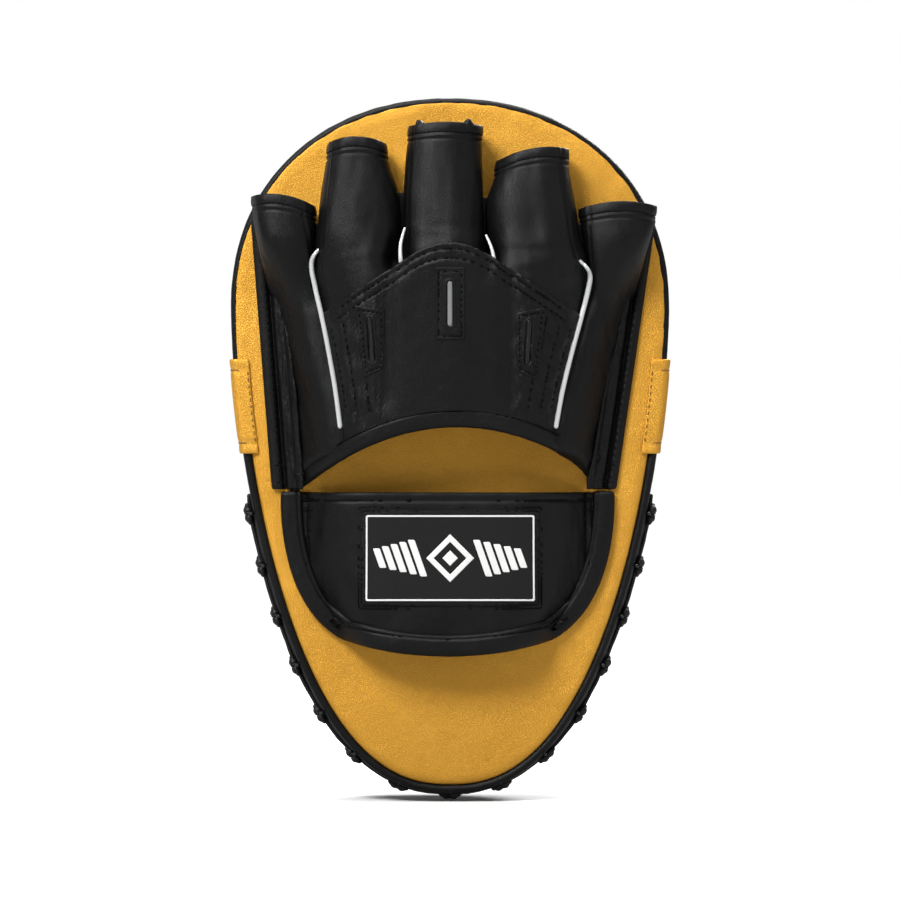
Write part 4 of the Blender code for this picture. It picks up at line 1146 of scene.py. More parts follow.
def make_maker_label():
    """Black label: a white border line, two rings and a ring of beads round a lozenge, bars in two arcs."""
    x, z, width, height = middle_of("maker_label")
    label = patch("maker_label_patch", on_face, moved(rounded_rectangle(width, height, 3 * MM), x, z),
                  PATCH_THICK, "label_plain", rings=10)
    stand_in(label, "maker_label")

    def raised(px, pz, lift):
        """The label's own surface."""
        return on_face(px, pz, lift + PATCH_THICK - 0.05 * MM)

    marks = []

    def mark(outline, hole=None, thickness=PRINT_THICK, rings=3, centre=(x, z)):
        """A shape of white print on the label."""
        hole = None if hole is None else moved(hole, *centre)
        marks.append(patch(f"mark_{len(marks)}", raised, moved(outline, *centre), thickness, "label_white",
                           rings=rings, hole=hole))

    mark(rounded_rectangle(width - 1.9 * MM, height - 1.9 * MM, 2.3 * MM),
         rounded_rectangle(width - 2.9 * MM, height - 2.9 * MM, 1.9 * MM))
    for outer, hole in ((23.0 * MM, 22.0 * MM), (14.6 * MM, 13.4 * MM)):
        mark(ellipse(outer, outer, 96), ellipse(hole, hole, 96))
    lozenge = even_line(LOZENGE, 48, closed=True)
    mark(lozenge * (3.4 * MM, 4.6 * MM), lozenge * (2.2 * MM, 3.2 * MM), rings=4)
    mark(ellipse(1.7 * MM, 1.7 * MM, 24))
    for number in range(BEADS):
        angle = 2 * math.pi * (number + 0.5) / BEADS
        centre = (x + BEAD_RING * math.cos(angle), z + BEAD_RING * math.sin(angle))
        mark(ellipse(1.0 * MM, 1.0 * MM, 12), thickness=0.14 * MM, rings=2, centre=centre)
    for side in (-1, 1):
        for number in range(-4, 5):
            angle = math.pi / 2 * side + number * 0.165
            reach = 15.2 * MM + 0.4 * MM * math.cos(number)
            bar = rounded_rectangle(1.5 * MM, 2.3 * MM, 0.3 * MM, 3, 3)
            turn = angle - math.pi / 2
            bar = bar @ np.array([(math.cos(turn), math.sin(turn)), (-math.sin(turn), math.cos(turn))])
            centre = (x + reach * math.cos(angle), z + reach * math.sin(angle) + side * 1.2 * MM)
            mark(bar, thickness=0.14 * MM, rings=2, centre=centre)
    joined("maker_label_marks", marks)


# ---------------------------------------------------------------- the glove


GLOVE_LEATHER = 1.6 * MM
GLOVE_RISE = (29 * MM, 33.5 * MM)      # height of the arch at the hem and at the finger roots
GLOVE_BASE_Z = 135 * MM
ARCH_POWER = 2.2
FLANGE_WIDTH = 11.5 * MM
LITTLE_EDGE_X = (74 * MM, 83 * MM)
THUMB_EDGE_X = (-70 * MM, -86.8 * MM)
EDGE_TOP_Z = 250 * MM
HEM_PEAK_Z = 160 * MM
HEM_DROP = 25 * MM
HEM_HALF_SPAN = 65 * MM
HEM_CENTRE_X = -3 * MM
HEM_WIDTH = 8 * MM
FINGER_ROOT_Z = 228 * MM
KNUCKLE_PEAK_Z = 236 * MM
KNUCKLE_SHOULDER_X = 20.5 * MM
KNUCKLE_FALL = 0.63

# line of the long pipings: z, x on the little finger's side, x on the thumb's side
PIPING_ROUTE = np.array([(158, 46.0, -44.3), (175, 48.2, -47.4), (190, 50.8, -51.0), (206, 54.0, -55.4),
                         (219, 57.0, -58.6), (227, 58.4, -59.8), (232, 58.0, -59.4),
                         (235.5, 55.0, -56.4)]) * MM
# the hook at a long piping's top: z where it bends, z of its end, how far it turns inwards
PIPING_HOOK = {1: (228, 235.5, 4.4), -1: (221, 229.5, 5.0)}

# finger sleeves: z, edge nearer the middle finger, outer edge, height over the back cover
SLEEVES = {
    "little": np.array([(137.5, 62.8, 66.0, 3.0), (141, 59.0, 66.3, 6.0), (145, 53.4, 66.6, 9.0),
                        (149, 45.4, 67.0, 12.0), (155, 44.6, 67.4, 14.0), (165, 46.2, 68.2, 16.0),
                        (185, 50.6, 70.5, 19.0), (205, 54.5, 74.0, 21.5), (220, 57.4, 77.6, 22.0),
                        (235, 57.2, 81.0, 21.5), (248, 56.6, 83.4, 20.5), (258, 57.0, 84.0, 19.5)]) * MM,
    "ring": np.array([(206, 24.0, 53.4, 27.0), (218, 21.0, 56.2, 28.5), (228, 20.6, 57.4, 28.5),
                      (240, 20.4, 56.4, 27.6), (252, 20.9, 55.4, 26.2), (262, 22.4, 54.2, 25.0),
                      (271, 25.0, 53.0, 23.8), (281.5, 27.2, 51.6, 22.5)]) * MM,
    "middle": np.array([(216, -15.6, 20.0, 31.0), (228, -15.0, 20.0, 31.0), (240, -14.6, 19.9, 29.6),
                        (252, -14.2, 19.8, 27.8), (264, -13.8, 19.4, 26.0), (276, -13.4, 18.6, 24.4),
                        (287.5, -13.6, 17.2, 23.0)]) * MM,
    "index": np.array([(206, -24.0, -54.8, 27.0), (218, -19.0, -57.6, 28.5), (228, -16.6, -58.2, 28.5),
                       (240, -15.4, -55.0, 27.6), (252, -15.0, -53.4, 26.2), (262, -16.6, -51.6, 25.0),
                       (270, -18.4, -50.4, 23.8), (277.5, -19.6, -50.0, 22.5)]) * MM,
    "thumb": np.array([(137.5, -58.8, -62.2, 3.0), (141, -56.2, -63.0, 6.0), (145, -51.6, -64.0, 9.0),
                       (149, -45.0, -65.0, 12.0), (155, -43.2, -66.0, 14.0), (165, -45.2, -67.8, 16.0),
                       (185, -50.6, -71.5, 19.0), (205, -56.0, -76.0, 21.5), (220, -59.6, -80.0, 22.5),
                       (235, -57.6, -83.6, 22.0), (246, -55.4, -86.2, 21.0),
                       (254.5, -54.8, -87.2, 20.0)]) * MM,
}
# finger tips: how far the rim is arched, and how far it tilts down towards the middle finger
TIP_SHAPE = {"little": (2.6 * MM, 2.2 * MM), "ring": (2.6 * MM, 0.0), "middle": (1.2 * MM, 0.0),
             "index": (2.6 * MM, 2.6 * MM), "thumb": (2.2 * MM, 0.6 * MM)}
# where each sleeve's seam lies on its section, at root and tip
SEAM_ANGLE = {"little": (2.85, 2.12), "ring": (0.62, 0.62), "middle": (0.60, 0.60),
              "index": (0.74, 0.74), "thumb": (2.75, 2.35)}
EAR_ANGLES = (0.74, 2.20)              # pinched corners of the middle sleeve's tip
FINGER_BASE = 1.0 * MM                 # underside of the finger sleeves over the back cover


def edge_x(z, ends):
    """Outer edge of the glove at a height: a line leaning outwards going up."""
    return ends[0] + (ends[1] - ends[0]) * (z - GLOVE_BASE_Z) / (EDGE_TOP_Z - GLOVE_BASE_Z)


def glove_arch(x, z):
    """The hand's arch over the back cover: a cosine between the flanges that rises towards the roots."""
    high = edge_x(z, LITTLE_EDGE_X) - FLANGE_WIDTH
    low = edge_x(z, THUMB_EDGE_X) + FLANGE_WIDTH
    share = np.clip(np.abs((x - (high + low) / 2) / ((high - low) / 2)), 0.0, 1.0)
    along = np.clip((z - HEM_PEAK_Z) / (FINGER_ROOT_Z - HEM_PEAK_Z), -0.4, 1.0)
    rise = GLOVE_RISE[0] + (GLOVE_RISE[1] - GLOVE_RISE[0]) * along
    base = GAP + GLOVE_LEATHER
    return base + (rise - base) * np.cos(math.pi / 2 * share ** (ARCH_POWER + 0.2)) ** 1.3


def piping_x(z, side):
    """x of a long piping at a height."""
    return curve_through(z, PIPING_ROUTE[:, 0], PIPING_ROUTE[:, 1 if side > 0 else 2])


def hem_z(x):
    """Lower edge of the hem: a parabola that peaks near the middle."""
    return HEM_PEAK_Z - HEM_DROP * ((x - HEM_CENTRE_X) / HEM_HALF_SPAN) ** 2


def knuckle_top(x):
    """Top edge of the knuckle panel: an arch over the middle finger, then diagonals to the pipings."""
    share = np.clip(np.abs(x) / KNUCKLE_SHOULDER_X, 0.0, 1.0)
    beyond = np.clip(np.abs(x) - KNUCKLE_SHOULDER_X, 0.0, None)
    return KNUCKLE_PEAK_Z - (KNUCKLE_PEAK_Z - FINGER_ROOT_Z) * share ** 2 - KNUCKLE_FALL * beyond


def normal_points(height, x, z, lift):
    """Points of a height over the pad's back, moved by lift along the surface's own normal."""
    step = 0.15 * MM
    slope_x = (height(x + step, z) - height(x - step, z)) / (2 * step)
    slope_z = (height(x, z + step) - height(x, z - step)) / (2 * step)
    length = np.sqrt(slope_x ** 2 + slope_z ** 2 + 1)
    y = BACK + height(x, z) + lift / length
    return np.stack([x - lift * slope_x / length, y, z - lift * slope_z / length], -1)


def line_on(place, x, z, lift=0.0):
    """A line of points on a surface and the surface's normals there."""
    x, z = np.broadcast_arrays(np.asarray(x, float), np.asarray(z, float))
    points = place(x, z, lift)
    return points, unit(place(x, z, lift + 0.2 * MM) - points)


SIDE_SEAM_START_Z = 166 * MM


def knuckle_seams():
    """Sewn lines on the knuckle panel in x and z: two along its top edge, three up each side."""
    lines = []
    for drop in (1.7 * MM, 5.6 * MM):
        x = np.linspace(-48 * MM, 48 * MM, 120)
        z = knuckle_top(x) - drop
        keep = (x < piping_x(z, 1) - 2 * MM) & (x > piping_x(z, -1) + 2 * MM)
        lines.append(np.stack([x[keep], z[keep]], 1))
    for side in (1, -1):
        for low, high, top in ((3.0, 3.0, 7.0), (7.6, 8.2, 9.0), (13.0, 14.5, 9.0)):
            share = np.linspace(0.0, 1.0, 40)
            inset = (low + (high - low) * share) * MM
            reach = piping_x(205 * MM, side) - side * inset[-1]
            end = knuckle_top(reach) - top * MM
            z = SIDE_SEAM_START_Z + (end - SIDE_SEAM_START_Z) * share
            x = piping_x(z, side) - side * inset
            keep = z > hem_z(x) + HEM_WIDTH + 0.5 * MM
            lines.append(np.stack([x[keep], z[keep]], 1))
    return lines


KNUCKLE_SEAMS = knuckle_seams()
FOLD_X = (26.0 * MM, -25.5 * MM)       # where the smooth middle meets the creased sides


def creasing(x, z):
    """Share of creasing on the knuckle panel: none in the middle, full towards the pipings."""
    outside = np.maximum(ease(x, FOLD_X[0] - 2 * MM, FOLD_X[0] + 4 * MM),
                         ease(-x, -FOLD_X[1] - 2 * MM, -FOLD_X[1] + 4 * MM))
    near_top = 0.6 * ease(z, knuckle_top(x) - 8 * MM, knuckle_top(x) - 4 * MM)
    return np.maximum(outside, near_top)


def knuckle_height(x, z):
    """Knuckle panel over the back cover: the arch, a swelling middle, folds beside it, pressed seams."""
    beside = np.minimum(piping_x(z, 1) - x, x - piping_x(z, -1))
    height = glove_arch(x, z) + 0.4 * MM + 1.4 * MM * ease(beside, 0.0, 6 * MM)
    folds = bell(x, FOLD_X[0], 3.4 * MM) + bell(x, FOLD_X[1], 3.4 * MM)
    height = height - 1.5 * MM * folds * ease(z, 162 * MM, 176 * MM)
    height = height + 1.0 * MM * bell(x, 1 * MM, 16 * MM)
    valleys = bell(x, 20.5 * MM, 3.0 * MM) + bell(x, -16.0 * MM, 3.0 * MM)
    height = height - 1.1 * MM * valleys * ease(z, 218 * MM, 230 * MM)
    sides = creasing(x, z)
    flat = np.stack([x * 1.6 + 0.35 * z * np.sign(x), z * 0.7], -1)
    height = height + 0.50 * MM * sides * soft_noise(flat, 0.0085, 71, 4)
    return height + 0.16 * MM * soft_noise(np.stack([x, z], -1), 0.03, 72)


def seam_pressed(x, z):
    """The knuckle panel with its sewn lines pressed in."""
    return knuckle_height(x, z) - pressed(x, z, KNUCKLE_SEAMS, 0.75 * MM, 0.42 * MM)


def on_knuckle(x, z, lift):
    """Points over the knuckle panel."""
    return normal_points(knuckle_height, x, z, lift)


def panel_grid(top, rows, columns, inset=0.0):
    """x and z between the two long pipings, from the hem up to a top edge.

    The pipings' x depends on z and the hem's z on x, so the two settle in a few steps.
    """
    across = np.linspace(0.0, 1.0, columns)
    up = np.linspace(0.0, 1.0, rows)[:, None]
    z = np.full((rows, columns), HEM_PEAK_Z)
    for _ in range(8):
        high = piping_x(z, 1) - 1.0 * MM - inset
        low = piping_x(z, -1) + 1.0 * MM + inset
        x = high + (low - high) * across
        bottom = hem_z(x) + HEM_WIDTH - 1.0 * MM
        z = bottom + (top(x) - bottom) * up
    return x, z


def make_knuckle_panel():
    """Knuckle panel with its seams, and the lining under it."""
    x, z = panel_grid(knuckle_top, 190, 230)
    grid = np.stack([x, BACK + seam_pressed(x, z), z], -1)
    panel = leather_sheet("knuckle_panel_leather", grid, GLOVE_LEATHER, "black",
                          masks={"creased": creasing(x, z)})
    stand_in(panel, "knuckle_panel")
    lines = [line_on(on_knuckle, line[:, 0], line[:, 1], -0.25 * MM) for line in KNUCKLE_SEAMS]
    stitch_row("knuckle_panel_stitches", lines, pitch=2.9 * MM)
    x, z = panel_grid(lambda across: knuckle_top(across) - 1.5 * MM, 60, 90, 0.6 * MM)
    under = np.stack([x, BACK + glove_arch(x, z) - 1.9 * MM, z], -1)
    stand_in(leather_sheet("hand_lining_cloth", under, 0.9 * MM, "lining"), "hand_lining")


# corners of a vent patch in x (top: two, bottom: two), z of its top and foot, finish of its slot
VENTS = {"vent_patch_middle": ((-5.9, 5.9, -5.9, 5.9), 226.0, 196.5, "slot"),
         "vent_patch_little": ((27.6, 39.6, 28.2, 35.6), 209.0, 183.0, "emblem"),
         "vent_patch_thumb": ((-28.0, -40.0, -28.4, -36.4), 208.0, 182.0, "emblem")}


VENT_COLUMNS = 34
SLOT_HALF = 8.6 * MM


def make_vents():
    """Vent patches on the knuckle panel: a thin patch with a sewn border and a slot with a lip."""
    for node, (sides, top, bottom, insert) in VENTS.items():
        upright = insert == "slot"
        up = np.linspace(0.0, 1.0, 70)[:, None]
        across = np.linspace(0.0, 1.0, VENT_COLUMNS)
        low = (sides[2] + (sides[3] - sides[2]) * across) * MM
        high = (sides[0] + (sides[1] - sides[0]) * across) * MM
        x = low + (high - low) * up
        slope = 0.0 if upright else 3.5
        z = (bottom + (top - bottom) * up + slope * (0.4 - across) * (1 - 1.6 * up)) * MM
        slot_x = x.mean(1, keepdims=True) + (0.0 if upright else 0.4 * MM)
        middle = (top + bottom) / 2 * MM
        past = np.clip(np.abs(z - middle) - 8.0 * MM, 0.0, None)
        from_slot = np.sqrt((x - slot_x) ** 2 + past ** 2)
        lip = 0.35 * MM * bell(from_slot, 1.9 * MM, 0.5 * MM)
        lip = lip - 0.75 * MM * (1 - ease(from_slot, 0.7 * MM, 1.5 * MM))
        border = np.minimum(np.minimum(np.abs(x - x[:, :1]), np.abs(x - x[:, -1:])),
                            np.minimum(np.abs(z - z[:1]), np.abs(z - z[-1:])))
        pull = 0.25 * MM * bell(border, 1.3 * MM, 0.6 * MM)
        points = on_knuckle(x, z, 0.45 * MM + lip - pull)
        sheet = leather_sheet(node + "_leather", points, 0.7 * MM, "black",
                              masks={"creased": np.full(x.shape, 0.0 if upright else 0.7)})
        stand_in(sheet, node)
        border_x, border_z = (np.concatenate([side[3, 3:-3], side[3:-3, -4], side[-4, 3:-3][::-1],
                                              side[3:-3, 3][::-1]]) for side in (x, z))
        stitch_row(node + "_stitches", [line_on(on_knuckle, border_x, border_z, 0.35 * MM)], pitch=2.3 * MM)
        run = middle + SLOT_HALF * np.linspace(-1.0, 1.0, 24)
        run_x = np.interp(run, z[:, VENT_COLUMNS // 2], slot_x[:, 0])
        path, normal = line_on(on_knuckle, run_x, run, 0.05 * MM)
        cords(node + "_slot", [cord_body(path, normal, 1.05 * MM, 12, squash=0.5)], insert)


def make_pipings():
    """White pipings: the long ones beside the knuckle panel, the short ones beside the middle sleeve."""
    for side, node in ((1, "long_piping_little"), (-1, "long_piping_thumb")):
        bend, end, inwards = np.array(PIPING_HOOK[side]) * MM
        z = np.linspace(PIPING_ROUTE[0, 0] + 2 * MM, end, 90)
        x = piping_x(np.minimum(z, FINGER_ROOT_Z), side)
        x = x - side * inwards * np.clip((z - bend) / (end - bend), 0.0, 1.0) ** 2.2
        level = glove_arch(x, z) + 0.9 * MM
        level = level + 3.2 * MM * ease(z, bend - 10 * MM, end) - 4.5 * MM * ease(z, end - 3.5 * MM, end)
        path = np.stack([x, BACK + level, z], -1)
        taper = 1.08 * MM * (1 - 0.35 * ease(z, bend, end))
        body = cord_body(path, (side * 0.4, 1.0, 0.0), taper, 14)
        stand_in(cords(node + "_cord", [body], "piping"), node)
    for sign, x_low, x_high, z_low, z_high, node in (
            (1, 20.6, 19.0, 229.0, 243.0, "short_piping_ring"),
            (-1, -18.6, -15.2, 226.5, 240.0, "short_piping_index")):
        share = np.linspace(0.0, 1.0, 24)
        x = (x_low + (x_high - x_low) * share + sign * 0.9 * np.sin(math.pi * share)) * MM
        z = (z_low + (z_high - z_low) * share) * MM
        level = glove_arch(x, z) - 1.6 * MM - 4.0 * MM * share ** 1.5
        path = np.stack([x, BACK + level, z], -1)
        body = cord_body(path, TOWARDS_HAND, 0.95 * MM * (1 - 0.45 * share), 12)
        stand_in(cords(node + "_cord", [body], "piping"), node)


SLEEVE_COUNT = 96                            # points round a sleeve
SLEEVE_SQUARENESS = 2 / 2.35
SLEEVE_THICK = 1.5 * MM


def sleeve_ring(finger, level):
    """Closed section of a finger sleeve at a height of its table.

    Below the finger roots the outer sleeves are half an arch that starts at the piping and ends
    at the flange; above them every sleeve is an oval lying on the back cover.
    """
    table = SLEEVES[finger]
    inner = curve_through(level, table[:, 0], table[:, 1])
    outer = curve_through(level, table[:, 0], table[:, 2])
    tall = curve_through(level, table[:, 0], table[:, 3])
    angle = np.linspace(0.0, 2 * math.pi, SLEEVE_COUNT, endpoint=False)
    across = np.sign(np.cos(angle)) * np.abs(np.cos(angle)) ** SLEEVE_SQUARENESS
    lift = np.sign(np.sin(angle)) * np.abs(np.sin(angle)) ** SLEEVE_SQUARENESS
    x = (inner + outer) / 2 + (outer - inner) / 2 * across
    y = FINGER_BASE + tall / 2 + tall / 2 * lift
    if finger in ("little", "thumb"):
        share = (1 - np.cos(np.clip(angle, 0.0, math.pi))) / 2
        top = angle <= math.pi
        wall = np.clip((angle - math.pi) / (0.25 * math.pi), 0.0, 1.0)
        floor = np.clip((angle - 1.25 * math.pi) / (0.75 * math.pi), 0.0, 1.0)
        seam = float(glove_arch(inner, level)) - 0.2 * MM
        arch_x = np.where(top, outer + (inner - outer) * share, inner + (outer - inner) * floor)
        rise = 0.35 * MM + (seam - 0.35 * MM) * np.sin(math.pi / 2 * share ** 1.15)
        rise = rise + (1.5 * MM + 0.05 * tall) * np.sin(math.pi * share) ** 1.5
        arch_y = np.where(top, rise, seam + (0.3 * MM - seam) * wall)
        blend = float(ease(level, 210 * MM, 242 * MM))
        x = arch_x + (x - arch_x) * blend
        y = arch_y + (y - arch_y) * blend
    return x, y


def make_sleeve(finger):
    """One finger's sleeve: rings up its table, tip tilted, seam pressed in, folds in the leather."""
    table = SLEEVES[finger]
    body = f"{finger}_finger"
    tip_z = table[-1, 0]
    angle = np.linspace(0.0, 2 * math.pi, SLEEVE_COUNT, endpoint=False)
    count = 100 if finger in ("little", "thumb") else 64
    levels = np.concatenate([np.linspace(table[0, 0], tip_z - 12 * MM, count)[:-1],
                             np.linspace(tip_z - 12 * MM, tip_z, 25)])
    arch, tilt = TIP_SHAPE[finger]
    sections = [sleeve_ring(finger, level) for level in levels]
    x = np.stack([s[0] for s in sections])
    y = np.stack([s[1] for s in sections])
    z = np.broadcast_to(levels[:, None], x.shape).copy()
    middle = (table[-1, 1] + table[-1, 2]) / 2
    half = abs(table[-1, 2] - table[-1, 1]) / 2
    outward_sign = 1.0 if finger in ("little", "ring") else -1.0
    s = np.clip((x - middle) / half, -1.2, 1.2)
    near_tip = ease(z, tip_z - 26 * MM, tip_z)
    z = z + near_tip * (outward_sign * tilt * s - tilt * 0.4 - arch * s ** 2)
    if finger in ("ring", "middle", "index"):
        joined_up = 1 - ease(z, 214 * MM, 246 * MM)
        towards = {"ring": -1.0, "middle": 0.0, "index": 1.0}[finger]
        inner_side = np.clip(towards * s, 0.0, None) if towards else np.abs(s)
        back = glove_arch(x, z) - 1.2 * MM + 1.2 * MM * (1 - s ** 2)
        back = back - 7.0 * MM * inner_side ** 5 * ease(z, 220 * MM, 232 * MM)
        y = y + (back - y) * joined_up * ease(np.sin(angle), 0.0, 0.25)
        under = knuckle_height(x, z) - 0.3 * MM - GLOVE_LEATHER
        covered = 1 - ease(z, knuckle_top(x) - 3 * MM, knuckle_top(x) + 3 * MM)
        y = np.minimum(y, under - 0.5 * MM + 40 * MM * (1 - covered))
    if finger == "middle":
        ears = sum(bell(angle, place, 0.085) for place in EAR_ANGLES)
        at_tip = ease(z, tip_z - 5 * MM, tip_z)
        z = z + 2.0 * MM * ears * at_tip
        y = y + 0.9 * MM * ears * at_tip
    rings = np.stack([x, BACK + y, z], -1)
    centre = rings.mean(1, keepdims=True)
    out = unit(rings - centre)
    upper = ease(np.sin(angle), -0.2, 0.5)
    drape = np.stack([x * 1.5, y * 1.5, z * 0.55], -1)
    folds = 0.50 * MM * soft_noise(drape, 0.026, 80 + len(finger)) * upper
    root_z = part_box(f"{finger}_stall")[0][2]
    flat = np.stack([x * 0.6, y * 0.6, z * 1.9], -1)
    root_creases = 0.22 * MM * soft_noise(flat, 0.016, 90 + len(finger), 2)
    root_creases = root_creases * bell(z, root_z + 2 * MM, 9 * MM) * upper
    seam_low, seam_high = SEAM_ANGLE[finger]
    seam_angle = (seam_low + (seam_high - seam_low) * ease(levels, root_z, tip_z))[:, None]
    seam = 0.55 * MM * bell(angle, seam_angle, 0.035) - 0.28 * MM * bell(angle, seam_angle + 0.10, 0.05)
    above = ease(z, root_z - 6 * MM, root_z + 2 * MM)
    from_tip = (tip_z - levels)[:, None]
    ridge = 0.30 * MM * bell(from_tip, 5.0 * MM, 0.7 * MM) - 0.35 * MM * bell(from_tip, 6.3 * MM, 0.5 * MM)
    rings = rings + out * (folds + root_creases - seam * above + ridge)[..., None]
    creased = 0.25 * bell(z, root_z, 10 * MM)
    sleeve = leather_tube(f"{finger}_sleeve", rings, SLEEVE_THICK, "black", None, {"creased": creased})
    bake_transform(sleeve)
    stand_in(sleeve, f"{finger}_stall")
    make_tip_band(finger, rings, body)


TIP_BAND_HEIGHT = 3.5 * MM


def make_tip_band(finger, rings, body):
    """Bound tip: a band of folded leather over the sleeve's last few rings, its edges rounded."""
    spacing = np.linalg.norm(rings[-1].mean(0) - rings[-2].mean(0))
    steps = max(3, int(round(TIP_BAND_HEIGHT / spacing)))
    last = rings[-1 - steps:]
    fine = np.stack([last[int(p)] * (1 - p % 1) + last[min(int(p) + 1, steps)] * (p % 1)
                     for p in np.linspace(0.0, 1.0, 12) * (steps - 1e-6)])
    rim = unit(rings[-1].mean(0) - rings[-3].mean(0))
    fine = np.concatenate([fine, fine[-1:] + rim * 0.5 * MM])
    centre = fine.mean(1, keepdims=True)
    out = unit(fine - centre)
    share = np.linspace(0.0, 1.0, len(fine))[:, None]
    pinch = 0.12 * MM * soft_noise(fine, 0.01, 97)
    swell = 0.15 * MM + 0.40 * MM * np.sin(math.pi * np.clip(share, 0.03, 0.97)) ** 0.35 + pinch
    outer = fine + out * swell[..., None]
    inner = fine - out * 1.9 * MM
    whole = np.concatenate([outer, inner[::-1]])
    band = ring_stack(f"{finger}_tip_binding", whole, "black", body, looped=True)
    stand_in(band, f"{finger}_tip_band")
    front = SLEEVE_COUNT // 2 + 1
    normal = out[0, :front]
    line = (outer[1] + (outer[0] - outer[1]) * 1.2)[:front] - normal * 0.25 * MM
    stitch_row(f"{finger}_tip_stitches", [(line, normal)], body, pitch=2.6 * MM, radius=0.22 * MM)


def flange_edge(z, side):
    """Outer edge of the sewn flange at a height."""
    return edge_x(z, LITTLE_EDGE_X if side > 0 else THUMB_EDGE_X) + (1.7 if side > 0 else -0.8) * MM


def make_flanges():
    """Strips that sew the glove to the back cover: a smooth lip, a groove, a creased strip that climbs."""
    for side, finger in ((1, "little"), (-1, "thumb")):
        table = SLEEVES[finger]
        z = np.linspace(GLOVE_BASE_Z - 1.0 * MM, EDGE_TOP_Z - 2 * MM, 150)[:, None]
        outer = flange_edge(z, side)
        foot = curve_through(z, table[:, 0], table[:, 2]) - side * 3.0 * MM
        foot = side * np.minimum(side * foot, side * outer - 3.0 * MM)
        across = np.linspace(0.0, 1.0, 46)
        x = outer + (foot - outer) * across
        from_edge = np.abs(x - outer)
        lip = (4.8 if side > 0 else 4.0) * MM
        round_lip = (1 - ((from_edge / lip) * 2 - 1) ** 2).clip(0) * (from_edge < lip)
        thick = 1.9 * MM + 0.7 * MM * round_lip
        groove = 1.5 * MM * bell(from_edge, lip + 0.6 * MM, 0.8 * MM)
        second = 0.8 * MM * bell(from_edge, lip + 5.4 * MM, 0.7 * MM)
        rough = ease(from_edge, lip + 0.8 * MM, lip + 2.5 * MM)
        flat = np.stack(np.broadcast_arrays(x * 1.5, z * 0.6), -1)
        wrinkles = 0.45 * MM * rough * soft_noise(flat, 0.008, 101, 4)
        slope = 3.6 * MM * ease(from_edge, lip + 2.0 * MM, lip + 9.0 * MM)
        slope = slope * (1 - ease(z, 205 * MM, FINGER_ROOT_Z))
        level = thick + 1.3 * MM * rough + slope - groove - second + wrinkles
        grid = on_back(x, np.broadcast_to(z, x.shape), level)
        sheet = leather_sheet(f"{finger}_flange", grid, 1.5 * MM, "black", masks={"creased": 0.9 * rough})
        stand_in(sheet, f"side_panel_{finger}")
        lines = []
        run = np.linspace(GLOVE_BASE_Z + 2 * MM, 240 * MM, 120)
        for inset, rise in ((lip - 1.2 * MM, 2.35 * MM), (lip + 5.4 * MM, 3.9 * MM)):
            line_x = flange_edge(run, side) - side * inset
            limit = curve_through(run, table[:, 0], table[:, 2])
            keep = side * line_x > side * limit + 0.4 * MM
            if keep.sum() > 4:
                lines.append((on_back(line_x[keep], run[keep], rise), TOWARDS_HAND))
        for height in (GLOVE_BASE_Z + 1.5 * MM, GLOVE_BASE_Z + 8.5 * MM):
            edge = flange_edge(height, side)
            tack = np.linspace(edge - side * 1.2 * MM, edge - side * 10.0 * MM, 16)
            lines.append((on_back(tack, np.full(16, height), 2.5 * MM), TOWARDS_HAND))
        stitch_row(f"{finger}_flange_stitches", lines, pitch=3.1 * MM)


def make_hem():
    """Bound lower edge of the glove: a rounded band along the hem's curve, stitched on its upper side."""
    high = flange_edge(GLOVE_BASE_Z, 1) - FLANGE_WIDTH + 1.5 * MM
    low = flange_edge(GLOVE_BASE_Z, -1) + FLANGE_WIDTH - 1.5 * MM
    x = np.linspace(high, low, 240)
    up = np.linspace(0.0, 1.0, 26)[:, None]
    z = hem_z(x) + HEM_WIDTH * up
    x = np.broadcast_to(x, z.shape)
    beside = np.minimum(np.abs(x - 46 * MM), np.abs(x + 44.5 * MM))
    pleat = 0.5 * MM * bell(beside, 0.0, 1.6 * MM)
    lift = 1.1 * MM + 1.0 * MM * (1 - (2 * up - 1) ** 4) - 0.5 * MM * bell(up, 0.86, 0.05)
    lift = lift - pleat + 0.22 * MM * soft_noise(np.stack([x, z], -1), 0.014, 111)
    grid = normal_points(glove_arch, x, z, lift)
    stand_in(leather_sheet("hand_hem_binding", grid, 3.4 * MM, "black", rim_steps=8), "hand_hem")

    def on_hem(px, pz, rise):
        """Points over the hem."""
        return normal_points(glove_arch, px, pz, rise + 1.7 * MM)

    run = np.linspace(high - 5 * MM, low + 5 * MM, 200)
    stitch_row("hand_hem_stitches", [line_on(on_hem, run, hem_z(run) + 0.86 * HEM_WIDTH)], pitch=3.2 * MM)


WEBBING_FOOT_Z = 222 * MM


def make_webbing():
    """Dark webbing low between the sleeves: a small saddle with a dipped upper edge in each gap."""
    for name, x_low, x_high, top in (("webbing_little", 52, 61, 246), ("webbing_ring", 16, 25, 259),
                                     ("webbing_index", -19, -11, 257), ("webbing_thumb", -60, -51, 246)):
        across = np.linspace(x_low, x_high, 24) * MM
        up = np.linspace(0.0, 1.0, 30)[:, None]
        share = np.linspace(-1.0, 1.0, 24)
        rim = (top + 2.5 * share ** 2) * MM
        z = WEBBING_FOOT_Z + (rim - WEBBING_FOOT_Z) * up
        x = np.broadcast_to(across, z.shape)
        level = 3.2 * MM + 4.0 * MM * (1 - up) + 1.6 * MM * share ** 2
        grid = on_back(x, z, level)
        leather_sheet(name, grid, 1.0 * MM, "lining")


# ---------------------------------------------------------------- the wrist cuff


